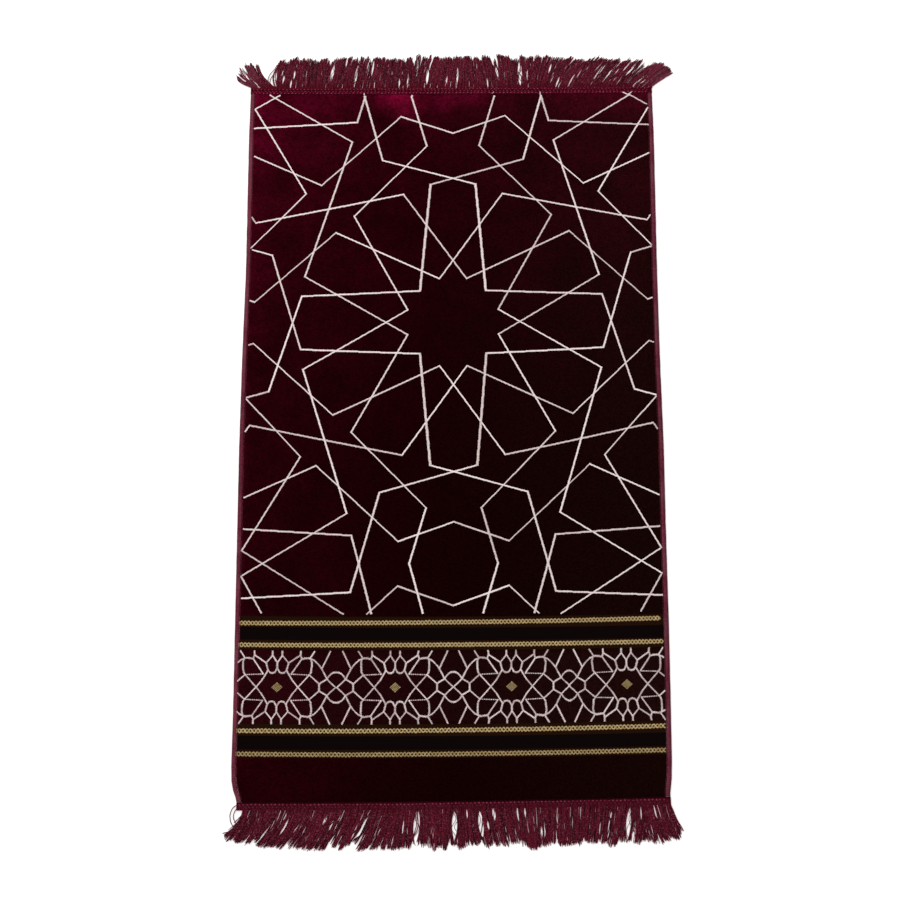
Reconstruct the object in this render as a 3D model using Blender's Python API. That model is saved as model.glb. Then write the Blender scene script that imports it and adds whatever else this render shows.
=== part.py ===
# Prayer rug: a velvet cloth lying flat, an overlocked binding down each long side, and a sewn-on
# fringe across each end. Metres, +Z up, +Y towards the head end. The origin is on the floor, under the
# middle of the whole rug, fringes included.
import random

import bmesh
import bpy

MM = 0.001

# Heights above the floor
CLOTH_HEIGHT = 3.6 * MM
BINDING_HEIGHT = 4.2 * MM
TAPE_HEIGHT = 3.4 * MM

# Widths
CLOTH_CHAMFER = 0.8 * MM
BINDING_WIDTH_LEFT = 6.0 * MM
BINDING_WIDTH_RIGHT = 8.0 * MM
TAPE_WIDTH = 11.5 * MM
SEAM_GAP = 0.3 * MM

# The body, a row for each cross line from the head end down, in millimetres from the middle of the
# big rosette. left and right are the outer edges, binding included. A weft line isn't quite level:
# it climbs by tilt towards the right, and both its ends stand higher than its middle by sag.
BODY_COLUMNS = ("along", "left", "right", "tilt", "sag")
BODY_ROWS = (
    (395.2, -328.0, 325.5, 0.0, 1.5),
    (316.0, -329.0, 326.2, 0.0, 1.6),
    (200.0, -328.5, 325.0, 0.0, 1.7),
    (86.0, -328.0, 323.8, 0.0, 1.8),
    (-63.0, -330.2, 323.4, 0.0, 2.0),
    (-208.0, -331.0, 324.5, 0.0, 2.2),
    (-350.0, -330.4, 323.2, 0.1, 2.4),
    (-486.0, -329.8, 322.7, 0.4, 2.6),
    (-620.0, -329.1, 321.2, 1.0, 2.8),
    (-700.0, -329.5, 320.0, 1.8, 2.5),
    (-722.0, -328.6, 318.9, 2.2, 2.3),
    (-735.0, -325.8, 317.4, 2.5, 2.1),
    (-745.0, -321.8, 316.2, 2.8, 2.0),
    (-752.0, -320.2, 316.0, 3.0, 1.9),
)
LEVEL_SPAN = 300.0 * MM
CLOTH_COLUMNS = 8

# Outline of a binding's cross-section, from its rounded outer side to its flat inner side:
# across as a share of the width, up as a share of the height.
BINDING_PROFILE = (
    (0.10, 0.0), (0.0, 0.30), (0.08, 0.72), (0.30, 1.0), (0.75, 1.0), (1.0, 0.86), (1.0, 0.0),
)

# The fringes, a row for each clump from left to right, in millimetres. A clump's locks are rooted
# side by side from the last clump's root_to to its own, and their ends gather between tip_from and
# tip_to, as far from the tape as reach_from and reach_to say. bend is how soon a lock turns to its tip.
CLUMP_COLUMNS = ("root_to", "tip_from", "tip_to", "reach_from", "reach_to", "bend")
HEAD_ROOT_START = -325.5
HEAD_CLUMPS = (
    (-312, -354, -339, 20, 42, 0.85),
    (-286, -339, -318, 44, 43, 0.85),
    (-264, -286, -267, 46, 52, 0.2),
    (-240, -265, -241, 53, 52, 0.2),
    (-202, -238, -204, 52, 53, 0.2),
    (-181, -193, -183, 52, 53, 0.2),
    (-139, -181, -134, 54, 53, 0.2),
    (-111, -127, -110, 56, 56, 0.2),
    (-82, -107, -80, 55, 53, 0.2),
    (-70, -72, -67, 57, 58, 0.2),
    (-44, -57, -40, 57, 56, 0.2),
    (29, -36, 30, 57, 56, 0.2),
    (62, 33, 61, 56, 60, 0.2),
    (104, 74, 105, 61, 56, 0.2),
    (135, 112, 134, 57, 58, 0.2),
    (160, 138, 162, 60, 60, 0.2),
    (192, 166, 200, 57, 54, 0.2),
    (225, 203, 248, 52, 54, 0.2),
    (241, 252, 265, 54, 51, 0.2),
    (271, 267, 291, 50, 48, 0.2),
    (295, 293, 317, 47, 44, 0.2),
    (326, 332, 360, 46, 28, 0.3),
)
FOOT_ROOT_START = -317.8
FOOT_CLUMPS = (
    (-308, -341, -330, 33, 47, 0.2),
    (-296, -329, -299, 54, 50, 0.2),
    (-256, -290, -251, 52, 58, 0.2),
    (-195, -242, -190, 56, 61, 0.2),
    (-171, -181, -157, 52, 59, 0.2),
    (-127, -144, -115, 60, 61, 0.2),
    (-108, -110, -102, 62, 63, 0.2),
    (-76, -99, -67, 61, 58, 0.2),
    (-44, -54, -41, 53, 53, 0.2),
    (3, -38, 1, 58, 55, 0.2),
    (36, 5, 32, 58, 55, 0.2),
    (66, 45, 65, 57, 58, 0.2),
    (102, 67, 100, 55, 54, 0.2),
    (126, 102, 125, 60, 61, 0.2),
    (149, 127, 147, 55, 55, 0.2),
    (190, 151, 183, 58, 58, 0.2),
    (215, 190, 220, 54, 56, 0.2),
    (256, 225, 256, 58, 52, 0.2),
    (285, 260, 284, 55, 50, 0.2),
    (302, 288, 309, 56, 57, 0.2),
    (316, 309, 331, 56, 46, 0.2),
)
LOCK_PITCH = 4.6 * MM
LOCK_PARTING = 0.7 * MM
LOCK_STEPS = 3
LOCK_TIP_HEIGHT = 1.8 * MM
LOCK_TIP_SHARE = 0.72
LOCK_TIP_WIDEST = 3.4 * MM
REACH_UNEVEN = 0.8 * MM
REACH_SEED = 11

# Base colour, roughness and metallic value of each piece
VELVET = ("pile velvet", (0.020, 0.001, 0.004), 0.90, 0.0)
OVERLOCK = ("overlock yarn", (0.115, 0.018, 0.038), 0.85, 0.0)
FRINGE_YARN = ("fringe yarn", (0.090, 0.007, 0.022), 0.80, 0.0)


def clear_objects():
    for old in list(bpy.data.objects):
        bpy.data.objects.remove(old, do_unlink=True)


def table(columns, rows):
    return [dict(zip(columns, row)) for row in rows]


def weft_line(row, across):
    """How far along the rug a cross line runs at a point across it."""
    share = across / LEVEL_SPAN
    return (row["along"] + row["tilt"] * share + row["sag"] * share * share) * MM


def add_material(piece, finish):
    name, colour, roughness, metallic = finish
    material = bpy.data.materials.new(name)
    material.use_nodes = True
    shader = material.node_tree.nodes["Principled BSDF"]
    shader.inputs["Base Color"].default_value = (*colour, 1.0)
    shader.inputs["Roughness"].default_value = roughness
    shader.inputs["Metallic"].default_value = metallic
    material.diffuse_color = (*colour, 1.0)
    piece.data.materials.append(material)


def add_piece(name, bm, finish):
    bmesh.ops.recalc_face_normals(bm, faces=bm.faces)
    mesh = bpy.data.meshes.new(name)
    bm.to_mesh(mesh)
    bm.free()
    piece = bpy.data.objects.new(name, mesh)
    bpy.context.scene.collection.objects.link(piece)
    add_material(piece, finish)
    return piece


def loft(bm, sections):
    """Joins equal closed sections into one skin, open at both ends, and returns its rings."""
    rings = [[bm.verts.new(point) for point in section] for section in sections]
    for near, far in zip(rings, rings[1:]):
        for i in range(len(near)):
            j = (i + 1) % len(near)
            bm.faces.new((near[i], near[j], far[j], far[i]))
    return rings


def cloth_section(row):
    """One cross line of the cloth: along its top from left to right, then back along its underside."""
    left = row["left"] * MM + BINDING_WIDTH_LEFT + SEAM_GAP
    right = row["right"] * MM - BINDING_WIDTH_RIGHT - SEAM_GAP
    inner = [left + CLOTH_CHAMFER + (right - left - 2 * CLOTH_CHAMFER) * i / CLOTH_COLUMNS
             for i in range(CLOTH_COLUMNS + 1)]
    across = [left] + inner + [right]
    top = [CLOTH_HEIGHT - CLOTH_CHAMFER] + [CLOTH_HEIGHT] * len(inner) + [CLOTH_HEIGHT - CLOTH_CHAMFER]
    over = [(x, weft_line(row, x), z) for x, z in zip(across, top)]
    under = [(x, weft_line(row, x), 0.0) for x in across]
    return over + under[::-1]


def make_cloth(rows):
    bm = bmesh.new()
    rings = loft(bm, [cloth_section(row) for row in rows])
    for ring in (rings[0], rings[-1]):
        half = len(ring) // 2
        for i in range(half - 1):
            bm.faces.new((ring[i], ring[i + 1], ring[-2 - i], ring[-1 - i]))
    return add_piece("rug_cloth", bm, VELVET)


def make_binding(name, rows, side):
    """side is -1 for the left edge and 1 for the right."""
    width = BINDING_WIDTH_LEFT if side < 0 else BINDING_WIDTH_RIGHT
    sections = []
    for row in rows:
        edge = (row["left"] if side < 0 else row["right"]) * MM
        sections.append([
            (edge - side * share * width, weft_line(row, edge), up * BINDING_HEIGHT)
            for share, up in BINDING_PROFILE
        ])
    bm = bmesh.new()
    rings = loft(bm, sections)
    for ring in (rings[0], rings[-1]):
        bm.faces.new(ring)
    return add_piece(name, bm, OVERLOCK)


def lock_plan(root_start, clumps, uneven):
    """Every lock's root span, tip centre, tip width and reach, from the clump table."""
    locks = []
    root = root_start * MM
    for clump in clumps:
        root_to = clump["root_to"] * MM
        count = max(1, round((root_to - root) / LOCK_PITCH))
        pitch = (root_to - root) / count
        tip_from = clump["tip_from"] * MM
        tip_pitch = (clump["tip_to"] * MM - tip_from) / count
        for i in range(count):
            share = (i + 0.5) / count
            reach = clump["reach_from"] * (1 - share) + clump["reach_to"] * share
            locks.append({
                "left": root + pitch * i + LOCK_PARTING / 2,
                "right": root + pitch * (i + 1) - LOCK_PARTING / 2,
                "tip": tip_from + tip_pitch * (i + 0.5),
                "tip_width": min(LOCK_TIP_SHARE * tip_pitch, LOCK_TIP_WIDEST),
                "reach": reach * MM + uneven.uniform(-REACH_UNEVEN, REACH_UNEVEN),
                "bend": clump["bend"],
            })
        root = root_to
    return locks


def lock_section(lock, share, root_line, way):
    """Middle, width and distance along of a lock, share of the way from its root to its tip."""
    root_middle = (lock["left"] + lock["right"]) / 2
    root_width = lock["right"] - lock["left"]
    bend = root_middle + lock["bend"] * (lock["tip"] - root_middle)
    middle = ((1 - share) ** 2 * root_middle + 2 * share * (1 - share) * bend
              + share ** 2 * lock["tip"])
    width = root_width + (lock["tip_width"] - root_width) * share
    along = root_line(root_middle) + way * lock["reach"] * share
    height = TAPE_HEIGHT + (LOCK_TIP_HEIGHT - TAPE_HEIGHT) * share
    return middle, width, along, height


def make_fringe(name, row, way, root_start, clumps, uneven):
    """A tape across the rug's end with the locks fused to its outer side. way is 1 at the head."""
    locks = lock_plan(root_start, clumps, uneven)

    def seam_line(x):
        return weft_line(row, x) + way * SEAM_GAP

    def root_line(x):
        return seam_line(x) + way * TAPE_WIDTH

    marks = [x for lock in locks for x in (lock["left"], lock["right"])]
    marks[0] = row["left"] * MM
    marks[-1] = row["right"] * MM
    locks[0]["left"] = marks[0]
    locks[-1]["right"] = marks[-1]
    bm = bmesh.new()
    sections = [
        [(x, seam_line(x), 0.0), (x, root_line(x), 0.0),
         (x, root_line(x), TAPE_HEIGHT), (x, seam_line(x), TAPE_HEIGHT)]
        for x in marks
    ]
    rings = [[bm.verts.new(point) for point in section] for section in sections]
    lock_faces = []
    for index, (near, far) in enumerate(zip(rings, rings[1:])):
        for i in range(4):
            j = (i + 1) % 4
            face = bm.faces.new((near[i], near[j], far[j], far[i]))
            if i == 1 and index % 2 == 0:
                lock_faces.append(face)
    bm.faces.new(rings[0])
    bm.faces.new(rings[-1])
    for lock, face in zip(locks, lock_faces):
        for step in range(1, LOCK_STEPS + 1):
            middle, width, along, height = lock_section(lock, step / LOCK_STEPS, root_line, way)
            face = bmesh.ops.extrude_discrete_faces(bm, faces=[face])["faces"][0]
            across = sum(v.co.x for v in face.verts) / 4
            for v in face.verts:
                side = 1 if v.co.x > across else -1
                v.co = (middle + side * width / 2, along, height if v.co.z > 0 else 0.0)
    return add_piece(name, bm, FRINGE_YARN)


def put_origin_under_middle(pieces):
    """Shifts every mesh so that the origin is below the middle of the whole rug's box."""
    corners = [v.co for piece in pieces for v in piece.data.vertices]
    middle_x = (min(c.x for c in corners) + max(c.x for c in corners)) / 2
    middle_y = (min(c.y for c in corners) + max(c.y for c in corners)) / 2
    for piece in pieces:
        for v in piece.data.vertices:
            v.co.x -= middle_x
            v.co.y -= middle_y


def main():
    clear_objects()
    rows = table(BODY_COLUMNS, BODY_ROWS)
    uneven = random.Random(REACH_SEED)
    head = table(CLUMP_COLUMNS, HEAD_CLUMPS)
    foot = table(CLUMP_COLUMNS, FOOT_CLUMPS)
    pieces = [
        make_cloth(rows),
        make_binding("binding_left", rows, -1),
        make_binding("binding_right", rows, 1),
        make_fringe("fringe_head", rows[0], 1, HEAD_ROOT_START, head, uneven),
        make_fringe("fringe_foot", rows[-1], -1, FOOT_ROOT_START, foot, uneven),
    ]
    put_origin_under_middle(pieces)


main()
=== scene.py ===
# Prayer rug: wine red cut velvet with a pale woven lattice, gold stripes and a small rosette border,
# overlocked down its sides, with a loose yarn fringe across each end.
# Lengths are metres; a name that ends in Mm is in millimetres, measured from the middle of the big
# rosette: across to the right, along towards the head end.
import math
import random

import bpy
import bmesh
import numpy as np
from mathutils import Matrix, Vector, noise


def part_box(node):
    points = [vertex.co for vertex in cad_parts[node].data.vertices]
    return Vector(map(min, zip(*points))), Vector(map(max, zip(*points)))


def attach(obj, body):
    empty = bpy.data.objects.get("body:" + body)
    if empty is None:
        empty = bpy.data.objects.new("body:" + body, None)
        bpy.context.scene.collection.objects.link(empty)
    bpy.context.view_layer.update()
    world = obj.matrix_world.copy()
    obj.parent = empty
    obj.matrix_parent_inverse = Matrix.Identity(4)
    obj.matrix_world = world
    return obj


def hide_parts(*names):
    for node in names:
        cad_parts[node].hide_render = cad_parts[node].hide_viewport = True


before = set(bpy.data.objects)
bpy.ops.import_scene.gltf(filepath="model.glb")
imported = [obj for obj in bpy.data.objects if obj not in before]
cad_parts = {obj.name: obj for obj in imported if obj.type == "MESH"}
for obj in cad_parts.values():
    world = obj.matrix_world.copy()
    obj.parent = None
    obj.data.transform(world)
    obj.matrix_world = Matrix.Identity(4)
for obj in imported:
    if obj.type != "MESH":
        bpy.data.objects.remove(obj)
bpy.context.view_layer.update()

mm = 0.001
clothLow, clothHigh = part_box("rug_cloth")


# layout: where a point of the cloth lies

layout = {
    "rosetteIn": (0.3247, 0.39692),    # the big rosette's middle, in from the cloth's left and head edges
    # a weft line climbs by tilt to the right and both its ends stand higher by sag, at driftAtMm across
    "driftAtMm": 300,
    "columns": ("along", "left", "right", "tilt", "sag"),
    "rows": (
        (395.2, -328.0, 325.5, 0.0, 1.5), (316.0, -329.0, 326.2, 0.0, 1.6),
        (200.0, -328.5, 325.0, 0.0, 1.7), (86.0, -328.0, 323.8, 0.0, 1.8),
        (-63.0, -330.2, 323.4, 0.0, 2.0), (-208.0, -331.0, 324.5, 0.0, 2.2),
        (-350.0, -330.4, 323.2, 0.1, 2.4), (-486.0, -329.8, 322.7, 0.4, 2.6),
        (-620.0, -329.1, 321.2, 1.0, 2.8), (-700.0, -329.5, 320.0, 1.8, 2.5),
        (-722.0, -328.6, 318.9, 2.2, 2.3), (-735.0, -325.8, 317.4, 2.5, 2.1),
        (-745.0, -321.8, 316.2, 2.8, 2.0), (-752.0, -320.2, 316.0, 3.0, 1.9),
    ),
    "bindingLeftMm": 6.6,
    "bindingRightMm": 7.0,
    "gapMm": 0.3,
    "tapeMm": 11.5,
    # how far the pattern is pulled across and along, at five places across, as it came off the loom
    "pullColumnsMm": (-320.0, -160.0, 0.0, 160.0, 320.0),
    "pulls": (
        (390.0, ((-0.1, -5.0), (1.7, -3.6), (1.4, -1.7), (1.0, -0.7), (0.5, -0.1))),
        (230.0, ((-1.0, -4.6), (1.1, -3.1), (0.9, -1.4), (0.0, -0.8), (-1.9, -0.4))),
        (70.0, ((-2.3, -4.3), (0.0, -2.9), (0.2, -1.4), (-0.6, -1.1), (-3.3, -0.8))),
        (-90.0, ((-2.9, -3.7), (-0.4, -2.5), (0.2, -1.2), (-0.5, -1.1), (-3.7, -0.8))),
        (-250.0, ((-2.7, -2.9), (-0.5, -1.8), (0.4, -0.8), (-0.1, -0.7), (-3.6, -0.3))),
        (-410.0, ((-2.8, -2.2), (-1.3, -1.3), (-0.6, -0.5), (-1.1, -0.4), (-4.9, 0.4))),
        (-470.0, ((-3.2, -2.1), (-2.2, -1.3), (-1.7, -0.6), (-2.3, -0.5), (-6.4, 0.5))),
        (-520.0, ((-2.5, -1.5), (-1.0, -0.9), (-0.6, -0.2), (-0.4, 0.1), (0.2, 0.4))),
        (-640.0, ((-2.5, -0.8), (-1.0, -0.8), (-0.6, 0.0), (-0.2, 0.2), (0.4, 0.6))),
        (-700.0, ((-2.5, -0.3), (-1.0, -0.9), (-0.6, -0.3), (0.0, 0.2), (0.5, 0.4))),
    ),
}
rosetteX = clothLow.x + layout["rosetteIn"][0]
rosetteY = clothHigh.y - layout["rosetteIn"][1]
headMm = layout["rows"][0][0]          # the cloth's two ends
footMm = layout["rows"][-1][0]


def clothRow(alongMm):
    rows = layout["rows"]
    if alongMm >= rows[0][0]:
        return dict(zip(layout["columns"], rows[0]))
    for upper, lower in zip(rows, rows[1:]):
        if alongMm >= lower[0]:
            share = (upper[0] - alongMm) / (upper[0] - lower[0])
            values = [a + (b - a) * share for a, b in zip(upper, lower)]
            return dict(zip(layout["columns"], values))
    return dict(zip(layout["columns"], rows[-1]))


def drift(row, acrossMm):
    share = acrossMm / layout["driftAtMm"]
    return row["tilt"] * share + row["sag"] * share * share


def fromRosette(xMm, yMm, zMm):
    return Vector((rosetteX + xMm * mm, rosetteY + yMm * mm, zMm * mm))


def place(acrossMm, alongMm, heightMm):
    # a point of the cloth, moved as its weft lines lie
    return fromRosette(acrossMm, alongMm + drift(clothRow(alongMm), acrossMm), heightMm)


def shareBetween(marks, value):
    # the mark before value, and how far value is towards the next
    for k in range(len(marks) - 2):
        if (value - marks[k + 1]) * (marks[-1] - marks[0]) < 0:
            break
    else:
        k = len(marks) - 2
    share = (value - marks[k]) / (marks[k + 1] - marks[k])
    return k, min(max(share, 0.0), 1.0)


def pulled(acrossMm, alongMm):
    # where a point of the drawn pattern has come to lie
    rows = layout["pulls"]
    i, down = shareBetween([row[0] for row in rows], alongMm)
    j, across = shareBetween(layout["pullColumnsMm"], acrossMm)
    moved = []
    for k in (0, 1):
        upper = rows[i][1][j][k] * (1 - across) + rows[i][1][j + 1][k] * across
        lower = rows[i + 1][1][j][k] * (1 - across) + rows[i + 1][1][j + 1][k] * across
        moved.append(upper * (1 - down) + lower * down)
    return acrossMm + moved[0], alongMm + moved[1]


def placeWoven(acrossMm, alongMm, heightMm):
    x, y = pulled(acrossMm, alongMm)
    return place(x, y, heightMm)


def clothEdges(alongMm):
    # the cloth's own sides, inside the bindings
    row = clothRow(alongMm)
    left = row["left"] + layout["bindingLeftMm"] + layout["gapMm"]
    right = row["right"] - layout["bindingRightMm"] - layout["gapMm"]
    return left, right


# small tools

def deselectAll():
    if bpy.context.object and bpy.context.object.mode != "OBJECT":
        bpy.ops.object.mode_set(mode="OBJECT")
    bpy.ops.object.select_all(action="DESELECT")


def makeActive(piece):
    deselectAll()
    piece.select_set(True)
    bpy.context.view_layer.objects.active = piece


def editAll(piece):
    # into edit mode, with the whole piece selected
    makeActive(piece)
    bpy.ops.object.mode_set(mode="EDIT")
    bpy.ops.mesh.select_all(action="SELECT")


def gridPiece(name, across, along, shape):
    # a grid primitive whose vertex (i, j) is put where shape(i, j) says
    deselectAll()
    bpy.ops.mesh.primitive_grid_add(x_subdivisions=across, y_subdivisions=along, size=1.0)
    piece = bpy.context.object
    piece.name = piece.data.name = name
    for vertex in piece.data.vertices:
        i = round((vertex.co.x + 0.5) * across)
        j = round((vertex.co.y + 0.5) * along)
        vertex.co = shape(i, j)
    return piece


def closeTube(piece, smoothDegrees):
    # joins the seam of a rolled grid and fills its two ends
    editAll(piece)
    bpy.ops.mesh.remove_doubles(threshold=0.02 * mm)
    bpy.ops.mesh.select_all(action="DESELECT")
    bpy.ops.mesh.select_non_manifold()
    bpy.ops.mesh.edge_face_add()
    bpy.ops.mesh.select_all(action="SELECT")
    bpy.ops.mesh.normals_make_consistent(inside=False)
    bpy.ops.object.mode_set(mode="OBJECT")
    bpy.ops.object.shade_smooth_by_angle(angle=math.radians(smoothDegrees))


def yarnPiece(name, strands, sides, flatten=None):
    # strands is a list of (points, radii), one curve each, turned into one mesh of round yarns with
    # so many sides; flatten is a height, and the share that each yarn keeps of its distance from it
    curve = bpy.data.curves.new(name, "CURVE")
    curve.dimensions = "3D"
    curve.bevel_depth = 1.0
    curve.bevel_resolution = (sides - 4) // 2
    for points, radii in strands:
        spline = curve.splines.new("POLY")
        spline.points.add(len(points) - 1)
        flat = [value for point in points for value in (point[0], point[1], point[2], 1.0)]
        spline.points.foreach_set("co", flat)
        spline.points.foreach_set("radius", radii)
    piece = bpy.data.objects.new(name, curve)
    bpy.context.scene.collection.objects.link(piece)
    makeActive(piece)
    bpy.ops.object.convert(target="MESH")
    piece = bpy.context.object
    piece.name = piece.data.name = name
    yarnMaps(piece.data, [len(points) for points, radii in strands], sides)
    if flatten:
        level, share = flatten
        for vertex in piece.data.vertices:
            vertex.co.z = level + (vertex.co.z - level) * share
    editAll(piece)
    bpy.ops.mesh.remove_doubles(threshold=0.01 * mm)
    bpy.ops.object.mode_set(mode="OBJECT")
    bpy.ops.object.shade_smooth()
    return piece


def onlyMaps(mesh, *names):
    # UV maps of these names, made where they are missing, and no others
    for name in names:
        if name not in mesh.uv_layers:
            mesh.uv_layers.new(name=name)
    for other in [layer.name for layer in mesh.uv_layers if layer.name not in names]:
        mesh.uv_layers.remove(mesh.uv_layers[other])
    return [mesh.uv_layers[name] for name in names]


def yarnMaps(mesh, counts, sides):
    # yarn: around the strand and along it. OFBake: a cell of the sheet for each strand.
    corner = np.zeros(len(mesh.loops), np.int32)
    mesh.loops.foreach_get("vertex_index", corner)
    ends = np.cumsum(np.array(counts) * sides)
    strand = np.searchsorted(ends, corner, side="right")
    start = np.concatenate(([0], ends[:-1]))[strand]
    ring = (corner - start) // sides
    side = (corner - start) % sides
    # the face that closes a ring runs on to the full turn instead of back to none
    quads = side.reshape(-1, 4)
    wraps = (quads.max(axis=1) == sides - 1) & (quads.min(axis=1) == 0)
    quads[wraps] = np.where(quads[wraps] == 0, sides, quads[wraps])
    around = quads.reshape(-1) / sides
    along = ring / np.maximum(np.array(counts)[strand] - 1, 1)
    cells = math.ceil(math.sqrt(len(counts)))
    margin = 0.08
    u = (strand % cells + margin + (1 - 2 * margin) * around) / cells
    v = (strand // cells + margin + (1 - 2 * margin) * along) / cells
    yarn, sheet = onlyMaps(mesh, "yarn", "OFBake")
    yarn.data.foreach_set("uv", np.stack((around, along), axis=1).reshape(-1))
    sheet.data.foreach_set("uv", np.stack((u, v), axis=1).reshape(-1))


def dress(piece, material, stands=()):
    piece.data.materials.clear()
    piece.data.materials.append(material)
    if stands:
        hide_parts(*stands)
    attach(piece, "root")
    return piece


# materials

def linear(code):
    # a hex sRGB colour as linear red, green, blue, alpha
    values = [int(code[i:i + 2], 16) / 255 for i in (1, 3, 5)]
    return [v / 12.92 if v <= 0.04045 else ((v + 0.055) / 1.055) ** 2.4 for v in values] + [1.0]


def fill(tree, node, inputs):
    # inputs are listed from the first, or by name or number; each is a value, a hex colour or the
    # output of another node
    for key, value in inputs.items() if isinstance(inputs, dict) else enumerate(inputs):
        if isinstance(value, bpy.types.NodeSocket):
            tree.links.new(value, node.inputs[key])
        else:
            node.inputs[key].default_value = linear(value) if isinstance(value, str) else value


def addNode(tree, kind, inputs=(), **settings):
    node = tree.nodes.new("ShaderNode" + kind)
    for name, value in settings.items():
        setattr(node, name, value)
    fill(tree, node, inputs)
    return node.outputs


def newMaterial(name, shading):
    material = bpy.data.materials.new(name)
    material.use_nodes = True
    tree = material.node_tree
    fill(tree, tree.nodes["Principled BSDF"], shading)
    return material, tree


def coat(material, colour, height, strength, reliefMm):
    # gives the shader its finished colour and the bump of a height pattern
    tree = material.node_tree
    bump = addNode(tree, "Bump", {"Strength": strength, "Distance": reliefMm * mm, "Height": height})
    fill(tree, tree.nodes["Principled BSDF"], {"Base Color": colour, "Normal": bump["Normal"]})
    return material


def patches(tree, coords, sizeMm, detail=2.0, stretch=(1, 1, 1)):
    # noise with blotches of about sizeMm
    scaled = addNode(tree, "Mapping", {"Vector": coords, "Scale": [1000 / sizeMm * s for s in stretch]})
    look = {"Vector": scaled["Vector"], "Scale": 1.0, "Detail": detail, "Roughness": 0.55}
    return addNode(tree, "TexNoise", look)["Fac"]


def wave(tree, socket, turn):
    # a sine of the socket; turn is how far round it goes in one unit
    angle = addNode(tree, "Math", (socket, turn), operation="MULTIPLY")[0]
    return addNode(tree, "Math", (angle,), operation="SINE")[0]


def offFrom(tree, socket, middle):
    # how far off a middle value the socket is, either way
    off = addNode(tree, "Math", (socket, middle), operation="SUBTRACT")[0]
    return addNode(tree, "Math", (off,), operation="ABSOLUTE")[0]


def tinted(tree, colour, tint, socket, *levels):
    # colour turning to tint as the socket goes from the first level to the second; the third and
    # fourth are how strong the tint is there
    share = addNode(tree, "MapRange", (socket, *levels))[0]
    return addNode(tree, "Mix", {0: share, 6: colour, 7: tint}, data_type="RGBA")[2]


velvet = {
    "deep": "#0D0001",        # the pile's own dark, where no painted sheen is added; darkest at the foot
    "wine": "#5C0421",        # colour of the painted sheen where tufts lean from the eye; brightest under the head tape
    # painted sheen, as glows that grow along one axis: the axis, from, to, their power and their share
    "left": ("X", 0.02, -0.33, 1.4, 0.062),
    "head": ("Y", -0.25, 0.55, 2.0, 0.082),
    "strip": ("Y", 0.515, 0.575, 1.5, 0.11),
    "edge": ("X", clothLow.x + 0.010, clothLow.x + 0.002, 1.5, 0.07),
    "corner": (2.5, 0.20),    # power and share where the left and head glows meet
    # round patches of painted sheen: middle, radius and share
    "spots": ((-0.086, 0.567, 0.050, 0.93), (-0.014, 0.570, 0.040, 0.25), (0.035, 0.572, 0.03, 0.15),
              (-0.314, 0.560, 0.036, 0.32)),
    "spotPower": 1.3,
    # unevenness of the glows: size and detail of its patches, and their range as noise and as glow
    "blotches": ((75, 3.0, (0.30, 0.70, 0.45, 1.6)), (7, 2.0, (0.30, 0.70, 0.72, 1.30))),
    "sheenVeil": "#020402",
    "sheenVeilAcross": (-0.05, 0.30, 0.25, 1.0),    # painted grey sheen veil over the pile: a little, most of it on the right
    "borderLint": "#0A0303",  # fibres of the pale yarn on the pile of the rosette border
    "borderMiddle": rosetteY - 0.583,
    "borderFade": (0.060, 0.050),
    "grainMm": 2.6,           # tufts are about 0.8 mm; drawn three times as coarse so that they show
    "grain": (0.30, 0.70, 0.50, 1.55),
    "bumpMm": 0.35,
}


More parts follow.
